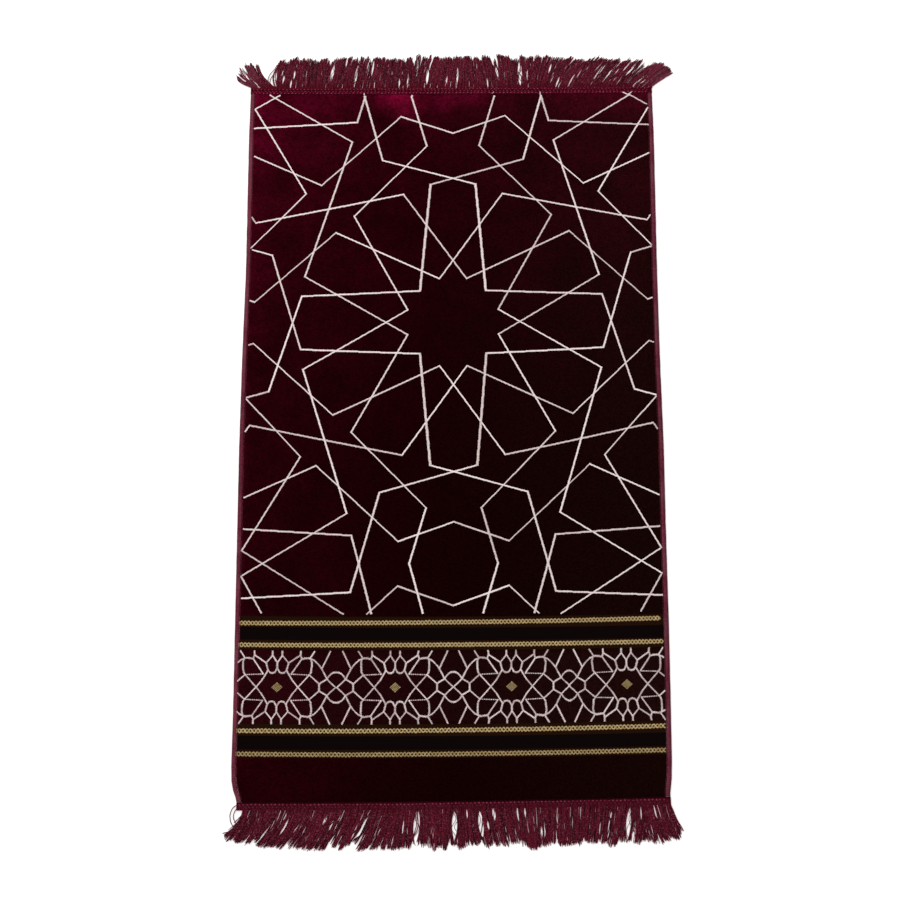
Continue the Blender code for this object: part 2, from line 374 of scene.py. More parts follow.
def cutVelvet():
    # Cut velvet in polyester yarn: upright pile that swallows light, so it has no highlight at all. The wine
    # red glow where the tufts lean away from the eye is painted sheen, brighter to the head and left, where
    # light comes from.
    material, tree = newMaterial("cutVelvetWine", {
        "Roughness": 1.0, "Specular IOR Level": 0.0, "Sheen Weight": 0.04, "Sheen Roughness": 0.5,
        "Sheen Tint": "#A00030",
    })
    coords = addNode(tree, "TexCoord")["Object"]
    axes = addNode(tree, "SeparateXYZ", (coords,))

    def glow(socket, low, high, power):
        near = addNode(tree, "MapRange", (socket, low, high))[0]
        return addNode(tree, "Math", (near, power), operation="POWER")[0]

    # painted sheen: glows along the rug and across it, at the corner, and round spots
    left, head, strip, edge = (glow(axes[velvet[name][0]], *velvet[name][1:4])
                               for name in ("left", "head", "strip", "edge"))
    corner = addNode(tree, "Math", (left, head), operation="MULTIPLY")[0]
    corner = addNode(tree, "Math", (corner, velvet["corner"][0]), operation="POWER")[0]
    glows = [(left, velvet["left"][-1]), (head, velvet["head"][-1]), (corner, velvet["corner"][-1]),
             (strip, velvet["strip"][-1]), (edge, velvet["edge"][-1])]
    for x, y, radius, amount in velvet["spots"]:
        middle = (x, y, cloth["pileMm"] * mm)
        away = addNode(tree, "VectorMath", (coords, middle), operation="DISTANCE")["Value"]
        glows.append((glow(away, radius, 0.0, velvet["spotPower"]), amount))
    share = 0.0
    for part, amount in glows:
        share = addNode(tree, "Math", (part, amount, share), operation="MULTIPLY_ADD")[0]
    for sizeMm, detail, levels in velvet["blotches"]:
        uneven = addNode(tree, "MapRange", (patches(tree, coords, sizeMm, detail), *levels))[0]
        share = addNode(tree, "Math", (share, uneven), operation="MULTIPLY")[0]
    colour = addNode(tree, "Mix", {0: share, 6: velvet["deep"], 7: velvet["wine"]}, data_type="RGBA")[2]
    # painted sheen: a faint grey veil added to the pile, most of it towards the right
    sheenVeil = addNode(tree, "MapRange", (axes["X"], *velvet["sheenVeilAcross"]))[0]
    away = offFrom(tree, axes["Y"], velvet["borderMiddle"])
    border = addNode(tree, "MapRange", (away, *velvet["borderFade"]))[0]
    for amount, fibre in ((sheenVeil, velvet["sheenVeil"]), (border, velvet["borderLint"])):
        colour = addNode(tree, "Mix", {0: amount, 6: colour, 7: fibre}, data_type="RGBA",
                         blend_type="ADD")[2]
    grain = patches(tree, coords, velvet["grainMm"], 2.0, (1, 1.4, 1))
    light = addNode(tree, "MapRange", (grain, *velvet["grain"]))[0]
    colour = addNode(tree, "VectorMath", {0: colour, "Scale": light}, operation="SCALE")[0]
    return coat(material, colour, grain, 0.5, velvet["bumpMm"])


def flatWeave(name, base, raised, pickMm):
    # Flat-woven ground: close cotton picks without pile, matt, with a faint rib along each pick.
    material, tree = newMaterial(name, {"Roughness": 0.85, "Specular IOR Level": 0.012})
    coords = addNode(tree, "TexCoord")["Object"]
    axes = addNode(tree, "SeparateXYZ", (coords,))
    turn = 2 * math.pi * 1000 / pickMm
    picks, ends = wave(tree, axes["Y"], turn), wave(tree, axes["X"], turn)
    weave = addNode(tree, "Math", (picks, ends), operation="MULTIPLY")[0]
    weave = addNode(tree, "Math", (weave, 0.5, 0.5), operation="MULTIPLY_ADD")[0]
    fuzz = addNode(tree, "MapRange", (patches(tree, coords, 1.4), 0.2, 0.8, 0.4, 1.0))[0]
    share = addNode(tree, "Math", (weave, fuzz), operation="MULTIPLY")[0]
    colour = addNode(tree, "Mix", {0: share, 6: base, 7: raised}, data_type="RGBA")[2]
    return coat(material, colour, weave, 0.4, 0.2)


def spunYarn(name, dark, light, pale, turns, plyShade, roughness, sheen, fuzzAndGlintMm, root=None):
    # Plied spun yarn: each strand has its own shade, and the plies show as slanting ridges with painted
    # shade between them. dark and light are the strands' range; pale is the loose fibre, partly its own
    # colour and partly painted highlight where it catches light; turns is how often a ply goes round its
    # strand; root is painted shade where strands are packed in a tape.
    material, tree = newMaterial(name, {
        "Roughness": roughness, "Specular IOR Level": 0.06, "Sheen Weight": sheen, "Sheen Roughness": 0.5,
    })
    island = addNode(tree, "NewGeometry")["Random Per Island"]
    coords = addNode(tree, "TexCoord")["Object"]
    colour = addNode(tree, "Mix", {0: island, 6: dark, 7: light}, data_type="RGBA")[2]
    # pale loose fibre in patches, partly its own colour and partly painted highlight
    colour = tinted(tree, colour, pale, patches(tree, coords, fuzzAndGlintMm), 0.50, 0.74, 0.0, 0.65)
    yarn = addNode(tree, "SeparateXYZ", (addNode(tree, "UVMap", uv_map="yarn")["UV"],))
    slant = addNode(tree, "Math", (yarn["Y"], turns, yarn["X"]), operation="MULTIPLY_ADD")[0]
    slant = addNode(tree, "Math", (island, 7.0, slant), operation="MULTIPLY_ADD")[0]
    ply = addNode(tree, "Math", (wave(tree, slant, 2 * math.pi), 0.5, 0.5), operation="MULTIPLY_ADD")[0]
    # painted shade in the grooves between the ply ridges
    shade = addNode(tree, "Math", (ply, plyShade), operation="MULTIPLY")[0]
    colour = addNode(tree, "Mix", {0: shade, 6: colour, 7: dark}, data_type="RGBA")[2]
    if root:
        # painted shade at the roots, where the strands are packed in the tape
        colour = tinted(tree, colour, root, yarn["Y"], 0.26, 0.10, 0.0, 0.7)
        # the threads that splay at the corners of the head end are paler: painted highlight where they catch
        # light
        axes = addNode(tree, "SeparateXYZ", (coords,))
        outward = addNode(tree, "MapRange", (offFrom(tree, axes["X"], 0.0), 0.312, 0.332, 0.0, 0.14))[0]
        headward = addNode(tree, "MapRange", (axes["Y"], 0.0, 0.1))[0]
        splayGlint = addNode(tree, "Math", (outward, headward), operation="MULTIPLY")[0]
        colour = addNode(tree, "Mix", {0: splayGlint, 6: colour, 7: pale}, data_type="RGBA")[2]
    return coat(material, colour, ply, 0.6, 0.25)


# the velvet cloth

cloth = {
    "pileMm": 3.5,
    "flatMm": 2.7,            # the gold and black bands have no pile
    "edgeMm": 2.9,            # the pile rounds down at the cloth's edges
    "sideInsetMm": (0.0, 0.8, 2.4),    # points beside each side and each end, for the rounding
    "endInsetMm": (0.0, 1.0, 2.4),
    "columns": 70,
    "cellMm": 9.0,
    "stepMm": 0.7,            # how soon the pile ends at a band
    "waveMm": 0.12,
    "wavesPerMetre": 14,
    "bands": (                # from, to along the rug, and the number of the weave
        (-475.6, -492.6, 1), (-492.6, -512.2, 2), (-512.2, -527.0, 1),
        (-638.2, -656.4, 1), (-656.4, -676.6, 2), (-676.6, -689.0, 1),
    ),
    "weaves": (               # name, ground, raised yarn, pitch of the picks; the last for the underside
        ("flatWeaveBrown", "#120703", "#241106", 1.6), ("flatWeaveBlack", "#050202", "#0F0606", 1.6),
        ("jacquardBacking", "#2A0A12", "#5A1E2C", 2.2),
    ),
}
flatStretches = [(cloth["bands"][k][0], cloth["bands"][k + 2][1]) for k in (0, 3)]


def pileHeight(alongMm):
    for top, bottom in flatStretches:
        if bottom < alongMm < top:
            inside = min(top - alongMm, alongMm - bottom) / cloth["stepMm"]
            return cloth["pileMm"] + (cloth["flatMm"] - cloth["pileMm"]) * min(1.0, inside)
    return cloth["pileMm"]


def alongStations():
    marks = {headMm - inset for inset in cloth["endInsetMm"]}
    marks |= {footMm + inset for inset in cloth["endInsetMm"]}
    for top, bottom, weave in cloth["bands"]:
        marks |= {top, bottom}
    for top, bottom in flatStretches:
        marks |= {top - cloth["stepMm"], bottom + cloth["stepMm"]}
    marks = sorted(marks, reverse=True)
    stations = []
    for upper, lower in zip(marks, marks[1:]):
        steps = max(1, round((upper - lower) / cloth["cellMm"]))
        stations += [upper - (upper - lower) * i / steps for i in range(steps)]
    return stations + [marks[-1]]


def makeCloth():
    stations = alongStations()[::-1]
    inset = cloth["sideInsetMm"]
    rounded = inset[-1]
    columns = cloth["columns"]

    def shape(i, j):
        alongMm = stations[j]
        left, right = clothEdges(alongMm)
        if i < len(inset):
            acrossMm = left + inset[i]
        elif i > columns + len(inset):
            acrossMm = right - inset[columns + 2 * len(inset) - i]
        else:
            share = (i - len(inset) + 1) / (columns + 2)
            acrossMm = left + rounded + (right - left - 2 * rounded) * share
        height = pileHeight(alongMm)
        fromEdge = min(acrossMm - left, right - acrossMm, headMm - alongMm, alongMm - footMm)
        if fromEdge < rounded:
            height -= (cloth["pileMm"] - cloth["edgeMm"]) * (1 - fromEdge / rounded) ** 2
        point = place(acrossMm, alongMm, height)
        perMetre = cloth["wavesPerMetre"]
        swell = noise.noise(Vector((point.x * perMetre, point.y * perMetre, 0.0)))
        point.z += cloth["waveMm"] * mm * swell
        return point

    piece = gridPiece("velvetCloth", columns + 2 * len(inset), len(stations) - 1, shape)
    # the cloth's thickness: the sheet is extruded and its copy pressed flat on the floor
    drop = 0.02
    editAll(piece)
    bpy.ops.mesh.extrude_region_move(TRANSFORM_OT_translate={"value": (0, 0, -drop)})
    bpy.ops.object.mode_set(mode="OBJECT")
    for vertex in piece.data.vertices:
        if vertex.co.z < -drop / 2:
            vertex.co.z = 0.0
    editAll(piece)
    bpy.ops.mesh.normals_make_consistent(inside=False)
    bpy.ops.object.mode_set(mode="OBJECT")
    bpy.ops.object.shade_smooth_by_angle(angle=math.radians(40))
    return piece


def weaveOf(point):
    # which weave a face of the top lies in, 0 for the pile
    acrossMm = (point.x - rosetteX) / mm
    y = (point.y - rosetteY) / mm
    for top, bottom, weave in cloth["bands"]:
        row = clothRow((top + bottom) / 2)
        if bottom < y - drift(row, acrossMm) < top:
            return weave
    return 0


def isTop(face):
    return face.normal.z > 0.2


def mapCloth(piece):
    # the bake sheet: the top on nine tenths of it, the underside and edges in a strip below
    strip = 0.10
    mesh = piece.data
    sheet = onlyMaps(mesh, "OFBake")[0]
    for face in mesh.polygons:
        for index in face.loop_indices:
            co = mesh.vertices[mesh.loops[index].vertex_index].co
            u = (co.x - clothLow.x) / (clothHigh.x - clothLow.x)
            v = (co.y - clothLow.y) / (clothHigh.y - clothLow.y)
            sheet.data[index].uv = (u, strip + (1 - strip) * v if isTop(face) else 0.9 * strip * v)


print("cloth")
velvetCloth = makeCloth()
mapCloth(velvetCloth)
dress(velvetCloth, cutVelvet(), ["rug_cloth"])
for weave in cloth["weaves"]:
    velvetCloth.data.materials.append(flatWeave(*weave))
for face in velvetCloth.data.polygons:
    face.material_index = weaveOf(face.center) if isTop(face) else len(cloth["weaves"])


# the pale lattice: strapwork of twelve-fold and eight-fold stars

lattice = {
    "acrossMm": 394.4,        # half the repeat, between two big rosettes' middles
    "alongMm": 392.6,
    "steepMm": 3.15,          # a line's width, measured level, where it runs along the rug
    "shallowMm": 2.95,        # and measured along the rug, where it runs across
    "upright": 0.33,          # how much wider the lines are that run straight along the rug
    "bead": 0.03,             # how much thicker and thinner it is at every other station
    "stationMm": 2.3,
    "stepMm": 1.5,            # the weave moves a line in steps of this size
    "topMm": 394.3,           # as it lies, level with the cloth's end
    "bottomMm": -473.2,
    "keepMm": 0.3,            # bare pile beside the bindings
    "levelMm": 3.45,
    "press": 0.26,
    # yarn ends caught in the head seam, from and to, with their width
    "caught": (((-143.0, 393.4), (-143.2, 397.6), 1.7), ((143.4, 393.4), (143.0, 399.6), 1.9),
               ((65.0, 397.0), (68.2, 399.4), 1.2), ((286.0, 392.6), (277.2, 397.3), 2.0),
               ((286.6, 392.6), (293.2, 398.2), 2.0)),
    "caughtMm": 3.7,
}

# what both woven patterns share
lines = {
    "overlap": 0.3,           # how far a line runs past its ends, in its own widths
    "pullIn": 0.45,           # how far it is pulled to the nearest warp end or pick
    "uneven": 0.10,
    "uprightFrom": 0.955,     # a steeper line widens, in full once it is steeper by uprightOver
    "uprightOver": 0.035,
}

# Points of one quarter of a star, in half repeats from its middle. rim: the outer points of the
# petals, counted from the axis; core: the petals' inner crossings; joints: where two stars' lines
# meet; links and octagon: the lines' way round the gap to the next star along an axis.
stars = {
    "main": {
        "rimNorth": ((0.0918, 0.6020), (0.2015, 0.5595), (0.4001, 0.4640)),
        "rimEast": ((0.6014, 0.1144), (0.5908, 0.1992), (0.4717, 0.3916)),
        "core": ((0.0543, 0.1870), (0.1319, 0.1349), (0.1809, 0.0531)),
        "joints": ((0.2877, 0.7128), (0.7221, 0.2932)),
        "links": ((0.1074, 0.7759), (0.7869, 0.0888)),
        "octagon": ((0.1704, 1.0), (1.0, 0.1672)),
    },
    "side": {
        "rimNorth": ((0.0921, 0.5964), (0.2081, 0.5644), (0.4057, 0.4349)),
        "rimEast": ((0.6063, 0.1135), (0.5873, 0.2027), (0.4663, 0.3978)),
        "core": ((0.0467, 0.1958), (0.1314, 0.1422), (0.1897, 0.0510)),
        "joints": ((0.2779, 0.7068), (0.7123, 0.2872)),
        "links": ((0.1036, 0.7747), (0.7861, 0.0892)),
        "octagon": ((0.1706, 1.0), (1.0, 0.1668)),
    },
}


def mirrorX(p):
    return (-p[0], p[1])


def mirrorY(p):
    return (p[0], -p[1])


def facing(p):
    # the same point seen from the next star
    return (1 - p[0], 1 - p[1])


def quarterLines(own, other):
    (n1, n2, n3), (e1, e2, e3) = own["rimNorth"], own["rimEast"]
    c75, c45, c15 = own["core"]
    joint, secondJoint = own["joints"]
    north, east = own["links"]
    return [
        (n1, c45), (e1, c45), (mirrorX(n2), c75), (mirrorY(e2), c15), (n3, c15), (e3, c75),
        (mirrorX(n1), joint), (mirrorY(e1), secondJoint), (n2, facing(other["rimNorth"][1])),
        (e2, facing(other["rimEast"][1])), (n3, north), (e3, east),
        (north, own["octagon"][0]), (east, own["octagon"][1]),
    ]


def latticeLines():
    # every star's four quarters, each line once
    found = {}
    kinds = ("main", "side")
    for stepX in range(-2, 3):
        for stepY in range(-2, 3):
            if (stepX + stepY) % 2:
                continue
            quarter = quarterLines(stars[kinds[stepX % 2]], stars[kinds[(stepX + 1) % 2]])
            for flipX in (1, -1):
                for flipY in (1, -1):
                    for a, b in quarter:
                        ends = [(stepX + flipX * p[0], stepY + flipY * p[1]) for p in (a, b)]
                        key = tuple(sorted((round(p[0], 2), round(p[1], 2)) for p in ends))
                        found[key] = ends
    return [
        [(p[0] * lattice["acrossMm"], p[1] * lattice["alongMm"]) for p in ends]
        for ends in found.values()
    ]


def insideCloth(acrossMm, alongMm, look):
    left, right = clothEdges(alongMm)
    inSides = left + look["keepMm"] < acrossMm < right - look["keepMm"]
    return inSides and look["bottomMm"] < alongMm < look["topMm"]


def between(a, b, share):
    return a[0] + (b[0] - a[0]) * share, a[1] + (b[1] - a[1]) * share


def ribbon(a, b, look, wobble, keep):
    # stations of one woven line from a to b, in runs that lie inside the cloth
    length = math.hypot(b[0] - a[0], b[1] - a[1])
    dx, dy = (b[0] - a[0]) / length, (b[1] - a[1]) / length
    width = max(look["steepMm"] * abs(dy), look["shallowMm"] * abs(dx))
    upright = (abs(dy) - lines["uprightFrom"]) / lines["uprightOver"]
    width *= 1 + look["upright"] * min(max(upright, 0.0), 1.0)
    steep = abs(dy) > abs(dx)
    reach = lines["overlap"] * width
    count = max(2, math.ceil((length + 2 * reach) / look["stationMm"]) + 1)
    runs, run = [], []
    for i in range(count):
        along = -reach + (length + 2 * reach) * i / (count - 1)
        x, y = a[0] + dx * along, a[1] + dy * along
        if not keep(x, y):
            if len(run) > 1:
                runs.append(run)
            run = []
            continue
        step = look["stepMm"]
        if steep:
            x += lines["pullIn"] * (round(x / step) * step - x)
        else:
            y += lines["pullIn"] * (round(y / step) * step - y)
        uneven = wobble.uniform(-lines["uneven"], lines["uneven"])
        thick = width * (1 + uneven) * (1 + look["bead"] * (-1) ** i)
        run.append((x, y, thick / 2))
    if len(run) > 1:
        runs.append(run)
    return runs


def ribbonStrands(chains, look, keep, seed):
    wobble = random.Random(seed)
    strands = []
    for a, b in chains:
        for run in ribbon(a, b, look, wobble, keep):
            points = [placeWoven(x, y, look["levelMm"]) for x, y, half in run]
            radii = [half * mm for x, y, half in run]
            strands.append((points, radii))
    return strands


def keepLattice(x, y):
    return insideCloth(*pulled(x, y), lattice)


def caughtEnds():
    strands = []
    for a, b, widthMm in lattice["caught"]:
        points = [place(*between(a, b, share), lattice["caughtMm"]) for share in (0.0, 0.1, 0.9, 1.0)]
        strands.append((points, [half * widthMm * mm for half in (0.3, 0.5, 0.5, 0.3)]))
    return strands


print("lattice")
chenille = {"turns": 30, "plyShade": 0.25, "roughness": 0.85, "sheen": 0.02, "fuzzAndGlintMm": 2.2}
paleYarn = spunYarn("chenillePale", "#AE9D9A", "#D4C7C4", "#E6DCD9", **chenille)
latticeStrands = ribbonStrands(latticeLines(), lattice, keepLattice, 3) + caughtEnds()
latticeYarn = yarnPiece("latticeYarn", latticeStrands, 6, (lattice["levelMm"] * mm, lattice["press"]))
dress(latticeYarn, paleYarn)


# the border of small rosettes

rosettes = {
    "middlesMm": (-435.2, -262.4, -87.7, 85.4, 256.6, 429.6),
    "alongMm": -583.0,
    "topMm": -527.5,
    "bottomMm": -638.6,
    "keepMm": 1.0,
    "steepMm": 2.8,
    "shallowMm": 2.95,
    "upright": 0.0,
    "bead": 0.34,
    "stationMm": 1.25,
    "stepMm": 1.2,
    "levelMm": 3.45,
    "press": 0.28,
    # a quarter of one rosette, across and along from its middle; the other three mirror it
    "quarter": (
        ((7.2, 54.6), (7.2, 48.2), (16.6, 36.7), (13.8, 25.7), (10.6, 22.2), (7.0, 21.2), (3.4, 22.6),
         (0.0, 29.2), (0.0, 37.3), (7.2, 48.2)),
        ((34.5, 54.6), (34.0, 48.8), (16.6, 36.7)),
        ((34.0, 48.8), (36.0, 43.0), (20.6, 19.9)),
        ((36.0, 43.0), (41.5, 43.9), (46.3, 44.2), (49.7, 43.0)),
        ((54.8, 54.6), (48.4, 44.2)),
        ((49.7, 43.0), (50.9, 37.5), (50.8, 31.5), (50.3, 26.5), (49.7, 22.2), (47.4, 18.7)),
        ((47.4, 18.7), (30.9, 0.0), (22.3, -10.6), (14.9, -23.4), (13.8, -25.7)),
        ((47.4, 18.7), (62.2, 5.4), (62.2, -5.4)),
        ((62.2, 5.4), (73.6, 12.4)),
        ((49.7, 43.0), (54.4, 40.8), (58.3, 37.3), (62.2, 33.0), (65.7, 28.0), (69.6, 20.6),
         (73.6, 12.4), (80.0, 6.0), (86.5, 0.0)),
        ((78.2, 54.6), (65.7, 28.0)),
        ((73.6, 12.4), (76.6, 17.2), (79.6, 20.3), (83.0, 22.2), (86.5, 22.8)),
    ),
    "dotted": ((47.4, 18.7), (20.6, 19.9)),    # a nearly level line, woven as a row of dots
    "dots": 10,
    "dotMm": ((-1.05, 0.3), (-0.5, 1.0), (0.5, 1.0), (1.05, 0.3)),    # across, and half its thickness
}


def mirrored(points, middle):
    for flipX in (1, -1):
        for flipY in (1, -1):
            yield [(middle + flipX * x, rosettes["alongMm"] + flipY * y) for x, y in points]


def rosetteLines():
    found = []
    for middle in rosettes["middlesMm"]:
        for points in rosettes["quarter"]:
            for chain in mirrored(points, middle):
                found += list(zip(chain, chain[1:]))
    return found


def keepRosette(x, y):
    return insideCloth(x, y, rosettes)


def dottedStrands():
    strands = []
    for middle in rosettes["middlesMm"]:
        for a, b in mirrored(rosettes["dotted"], middle):
            for i in range(rosettes["dots"]):
                x, y = between(a, b, (i + 0.5) / rosettes["dots"])
                if keepRosette(x, y):
                    points = [placeWoven(x + dx, y, rosettes["levelMm"]) for dx, half in rosettes["dotMm"]]
                    strands.append((points, [half * mm for dx, half in rosettes["dotMm"]]))
    return strands


print("rosette border")
rosetteStrands = ribbonStrands(rosetteLines(), rosettes, keepRosette, 5) + dottedStrands()
rosetteYarn = yarnPiece("rosetteYarn", rosetteStrands, 6, (rosettes["levelMm"] * mm, rosettes["press"]))
greyedYarn = spunYarn("chenilleGreyed", "#A18D8B", "#CFBFBD", "#EADEDC", **chenille)
dress(rosetteYarn, greyedYarn)


# gold stripes and lozenges

gold = {
    # each stripe's place along, and how far it climbs to the right, at driftAtMm across
    "stripesMm": ((-483.8, 1.3), (-518.6, 0.2), (-647.8, 0.7), (-683.0, -0.2)),
    "swingMm": 2.75,          # half the height between a zigzag's turns
    "pitchMm": 5.4,           # from one dark eye of the chain to the next
    "pointsPerEye": 5,
    "thickMm": 2.3,
    "crossMm": 0.2,           # how far the two yarns pass over and under each other
    "endMm": 1.0,
    # unevenness of the swing, the place along in mm, the thickness and the pitch
    "uneven": (0.10, 0.15, 0.15, 0.06),
    "levelMm": 2.85,
    "press": 0.36,
}


def goldStrands():
    wobble = random.Random(8)
    unevenSwing, unevenMm, unevenThick, unevenPitch = gold["uneven"]
    strands = []
    for alongMm, climb in gold["stripesMm"]:
        left, right = clothEdges(alongMm)
        for way in (1, -1):
            points, radii = [], []
            x = left + gold["endMm"]
            phase = 0.0
            while x < right - gold["endMm"]:
                swing = gold["swingMm"] * (1 + wobble.uniform(-unevenSwing, unevenSwing))
                y = alongMm + climb * x / layout["driftAtMm"] + way * swing * math.cos(phase)
                y += wobble.uniform(-unevenMm, unevenMm)
                points.append(placeWoven(x, y, gold["levelMm"] + gold["crossMm"] * way * math.sin(phase)))
                radii.append(gold["thickMm"] / 2 * mm * (1 + wobble.uniform(-unevenThick, unevenThick)))
                step = gold["pitchMm"] / gold["pointsPerEye"]
                step *= 1 + wobble.uniform(-unevenPitch, unevenPitch)
                x += step
                phase += math.pi * step / gold["pitchMm"]
            strands.append((points, radii))
    return strands


lozenge = {
    "sizeMm": (8.6, 7.8),     # half its width and half its height
    "checks": 5,
    "cell": (0.62, 0.9),      # a yarn cell's half length, in checks, and how steeply it lies
    "yarn": ((-0.8, 0.4), (-0.4, 0.85), (0.4, 0.85), (0.8, 0.4)),    # along it, and half thickness in mm
    "levelMm": 3.6,
    "press": 0.4,
}


def lozengeStrands():
    # each lozenge is rows of short yarn cells, set diagonally
    strands = []
    checks = lozenge["checks"]
    wide, high = lozenge["sizeMm"]
    length, slope = lozenge["cell"]
    for middle in rosettes["middlesMm"][1:-1]:
        for i in range(checks):
            for j in range(checks):
                u, v = (i + 0.5) / checks, (j + 0.5) / checks
                x = middle + (u - v) * wide
                y = rosettes["alongMm"] + (u + v - 1) * high
                half = wide / checks * length
                points = [placeWoven(x + dx * half, y + dx * half * slope, lozenge["levelMm"])
                          for dx, thick in lozenge["yarn"]]
                strands.append((points, [thick * mm for dx, thick in lozenge["yarn"]]))
    return strands


print("gold")
goldYarn = yarnPiece("goldYarn", goldStrands(), 6, (gold["levelMm"] * mm, gold["press"]))
goldCotton = spunYarn("goldCotton", "#745F3A", "#AA9365", "#DCC8A0", turns=400, plyShade=0.32,
                      roughness=0.7, sheen=0.02, fuzzAndGlintMm=1.3)
dress(goldYarn, goldCotton)
# the lozenges are pressed flat about the pile's level, like the rosettes round them
lozengeYarn = yarnPiece("lozengeYarn", lozengeStrands(), 6, (rosettes["levelMm"] * mm, lozenge["press"]))
dress(lozengeYarn, goldCotton)


# overlocked bindings

binding = {
    "wrapMm": 2.6,            # pitch of the overlock stitches
    "heightMm": 4.1,
    "ridgeMm": 0.32,
    "slantMm": 1.4,           # a wrap runs slanting over the edge
    "waveMm": 0.25,
    "wavesPerMm": 0.05,
    "endGapMm": 0.2,
    "profile": (              # from the outer side over the top to the inner side, then back below
        (0.10, 0.0), (0.0, 0.28), (0.03, 0.55), (0.12, 0.82), (0.30, 1.0), (0.52, 0.97), (0.75, 1.0),
        (0.93, 0.90), (1.0, 0.7), (1.0, 0.0),
    ),
    "lit": 0.62,              # places around the profile where the yarn is lit, and where it is shaded
    "shaded": {"Left": 0.95, "Right": 0.22},
    "headwardLight": {"Left": 0.12, "Right": 0.05},    # how much paler the yarn is painted towards the head end, where the light comes from
    "yarnLengthMm": 1147,
}


def makeBinding(name, side):
    widthMm = layout["bindingLeftMm"] if side < 0 else layout["bindingRightMm"]
    edge = "left" if side < 0 else "right"
    profile = binding["profile"]
    top, bottom = headMm - binding["endGapMm"], footMm + binding["endGapMm"]
    rings = round((top - bottom) / binding["wrapMm"] * 2)

    def shape(i, j):
        share, up = profile[i % len(profile)]
        alongMm = bottom + (top - bottom) * j / rings
        row = clothRow(alongMm)
        x = row[edge] - side * share * widthMm
        ridge = binding["ridgeMm"] if j % 2 else 0.0
        z = up * binding["heightMm"]
        if up > 0.2:
            z -= ridge * (1 if up > 0.8 else 0.4)
            x -= side * ridge * (1 if up < 0.7 and share < 0.5 else 0.0)
        if share < 0.5:
            x += binding["waveMm"] * noise.noise(Vector((alongMm * binding["wavesPerMm"], side * 7.0, 0.0)))
        lean = drift(row, row[edge])
        y = alongMm + lean + binding["slantMm"] * (share - 0.5) * (1 if up > 0.2 else 0)
        return fromRosette(x, min(max(y, bottom + lean), top + lean), max(z, 0.0))

    piece = gridPiece(name, len(profile), rings, shape)
    closeTube(piece, 60)
    return piece


def overlockYarn(name, shadedAt, headwardLight):
    # Overlock in textured polyester: close slanting wraps, lighter on the ridge with painted shade between,
    # darker on the side away from the light, and paler towards the head end: painted light and shade.
    material, tree = newMaterial(name, {
        "Roughness": 0.75, "Specular IOR Level": 0.04, "Sheen Weight": 0.02, "Sheen Roughness": 0.5,
    })
    coords = addNode(tree, "TexCoord")["Object"]
    along = addNode(tree, "SeparateXYZ", (coords,))["Y"]
    around = addNode(tree, "SeparateXYZ", (addNode(tree, "UVMap", uv_map="UVMap")["UV"],))
    fine = patches(tree, coords, 1.5)
    wraps = binding["yarnLengthMm"] / binding["wrapMm"]
    turns = addNode(tree, "Math", (around["Y"], wraps, around["X"]), operation="MULTIPLY_ADD")[0]
    wrap = wave(tree, turns, 2 * math.pi)
    colour = tinted(tree, "#360A16", "#6A2838", fine, 0.32, 0.68)
    colour = tinted(tree, colour, "#7E4654", patches(tree, coords, 20, 2.0, (1, 0.5, 1)), 0.4, 0.7, 0.0, 0.35)
    # painted light: paler towards the head end
    colour = tinted(tree, colour, "#8A4254", along, 0.0, 0.5, 0.0, headwardLight)
    # painted shade between the wraps
    colour = tinted(tree, colour, "#24040C", wrap, 0.2, 1.0, 0.0, 0.5)
    colour = tinted(tree, colour, "#2A0610", around["X"], binding["lit"], shadedAt, 0.0, 0.6)
    return coat(material, colour, fine, 0.5, 0.2)


needle = {
    "fromMm": -749.0,
    "toMm": 391.0,
    "inMm": 0.9,              # in from the binding's inner edge
    "unevenMm": 0.2,
    "stitchMm": 2.21,
    "leanMm": 0.25,
    "levelMm": 3.15,
    "riseMm": 0.3,
    "yarn": ((0, 0.3), (0.25, 0.62), (0.75, 0.62), (1, 0.3)),    # along a stitch, and half thickness in mm
}


def needleStrands():
    # the overlock's needle thread, a line of short stitches beside each binding
    uneven = random.Random(14)
    strands = []
    for side in (-1, 1):
        alongMm = needle["fromMm"]
        while alongMm < needle["toMm"]:
            left, right = clothEdges(alongMm)
            x = left + needle["inMm"] if side < 0 else right - needle["inMm"]
            x += uneven.uniform(-needle["unevenMm"], needle["unevenMm"])
            points = [place(x + needle["leanMm"] * side * (share - 0.5), alongMm + needle["stitchMm"] * share,
                            needle["levelMm"] + needle["riseMm"] * math.sin(math.pi * share))
                      for share, half in needle["yarn"]]
            strands.append((points, [half * mm for share, half in needle["yarn"]]))
            alongMm += binding["wrapMm"] * uneven.uniform(0.95, 1.05)
    return strands


print("bindings")
for side, title in ((-1, "Left"), (1, "Right")):
    piece = makeBinding("overlock" + title, side)
    yarn = overlockYarn("overlockPolyester" + title, binding["shaded"][title], binding["headwardLight"][title])
    dress(piece, yarn, ["binding_" + title.lower()])
needleYarn = yarnPiece("needleYarn", needleStrands(), 4)
needlePolyester = spunYarn("needlePolyester", "#2E0610", "#561826", "#6E3040", turns=2, plyShade=0.3,
                           roughness=0.8, sheen=0.0, fuzzAndGlintMm=1.6)
dress(needleYarn, needlePolyester)


# fringes

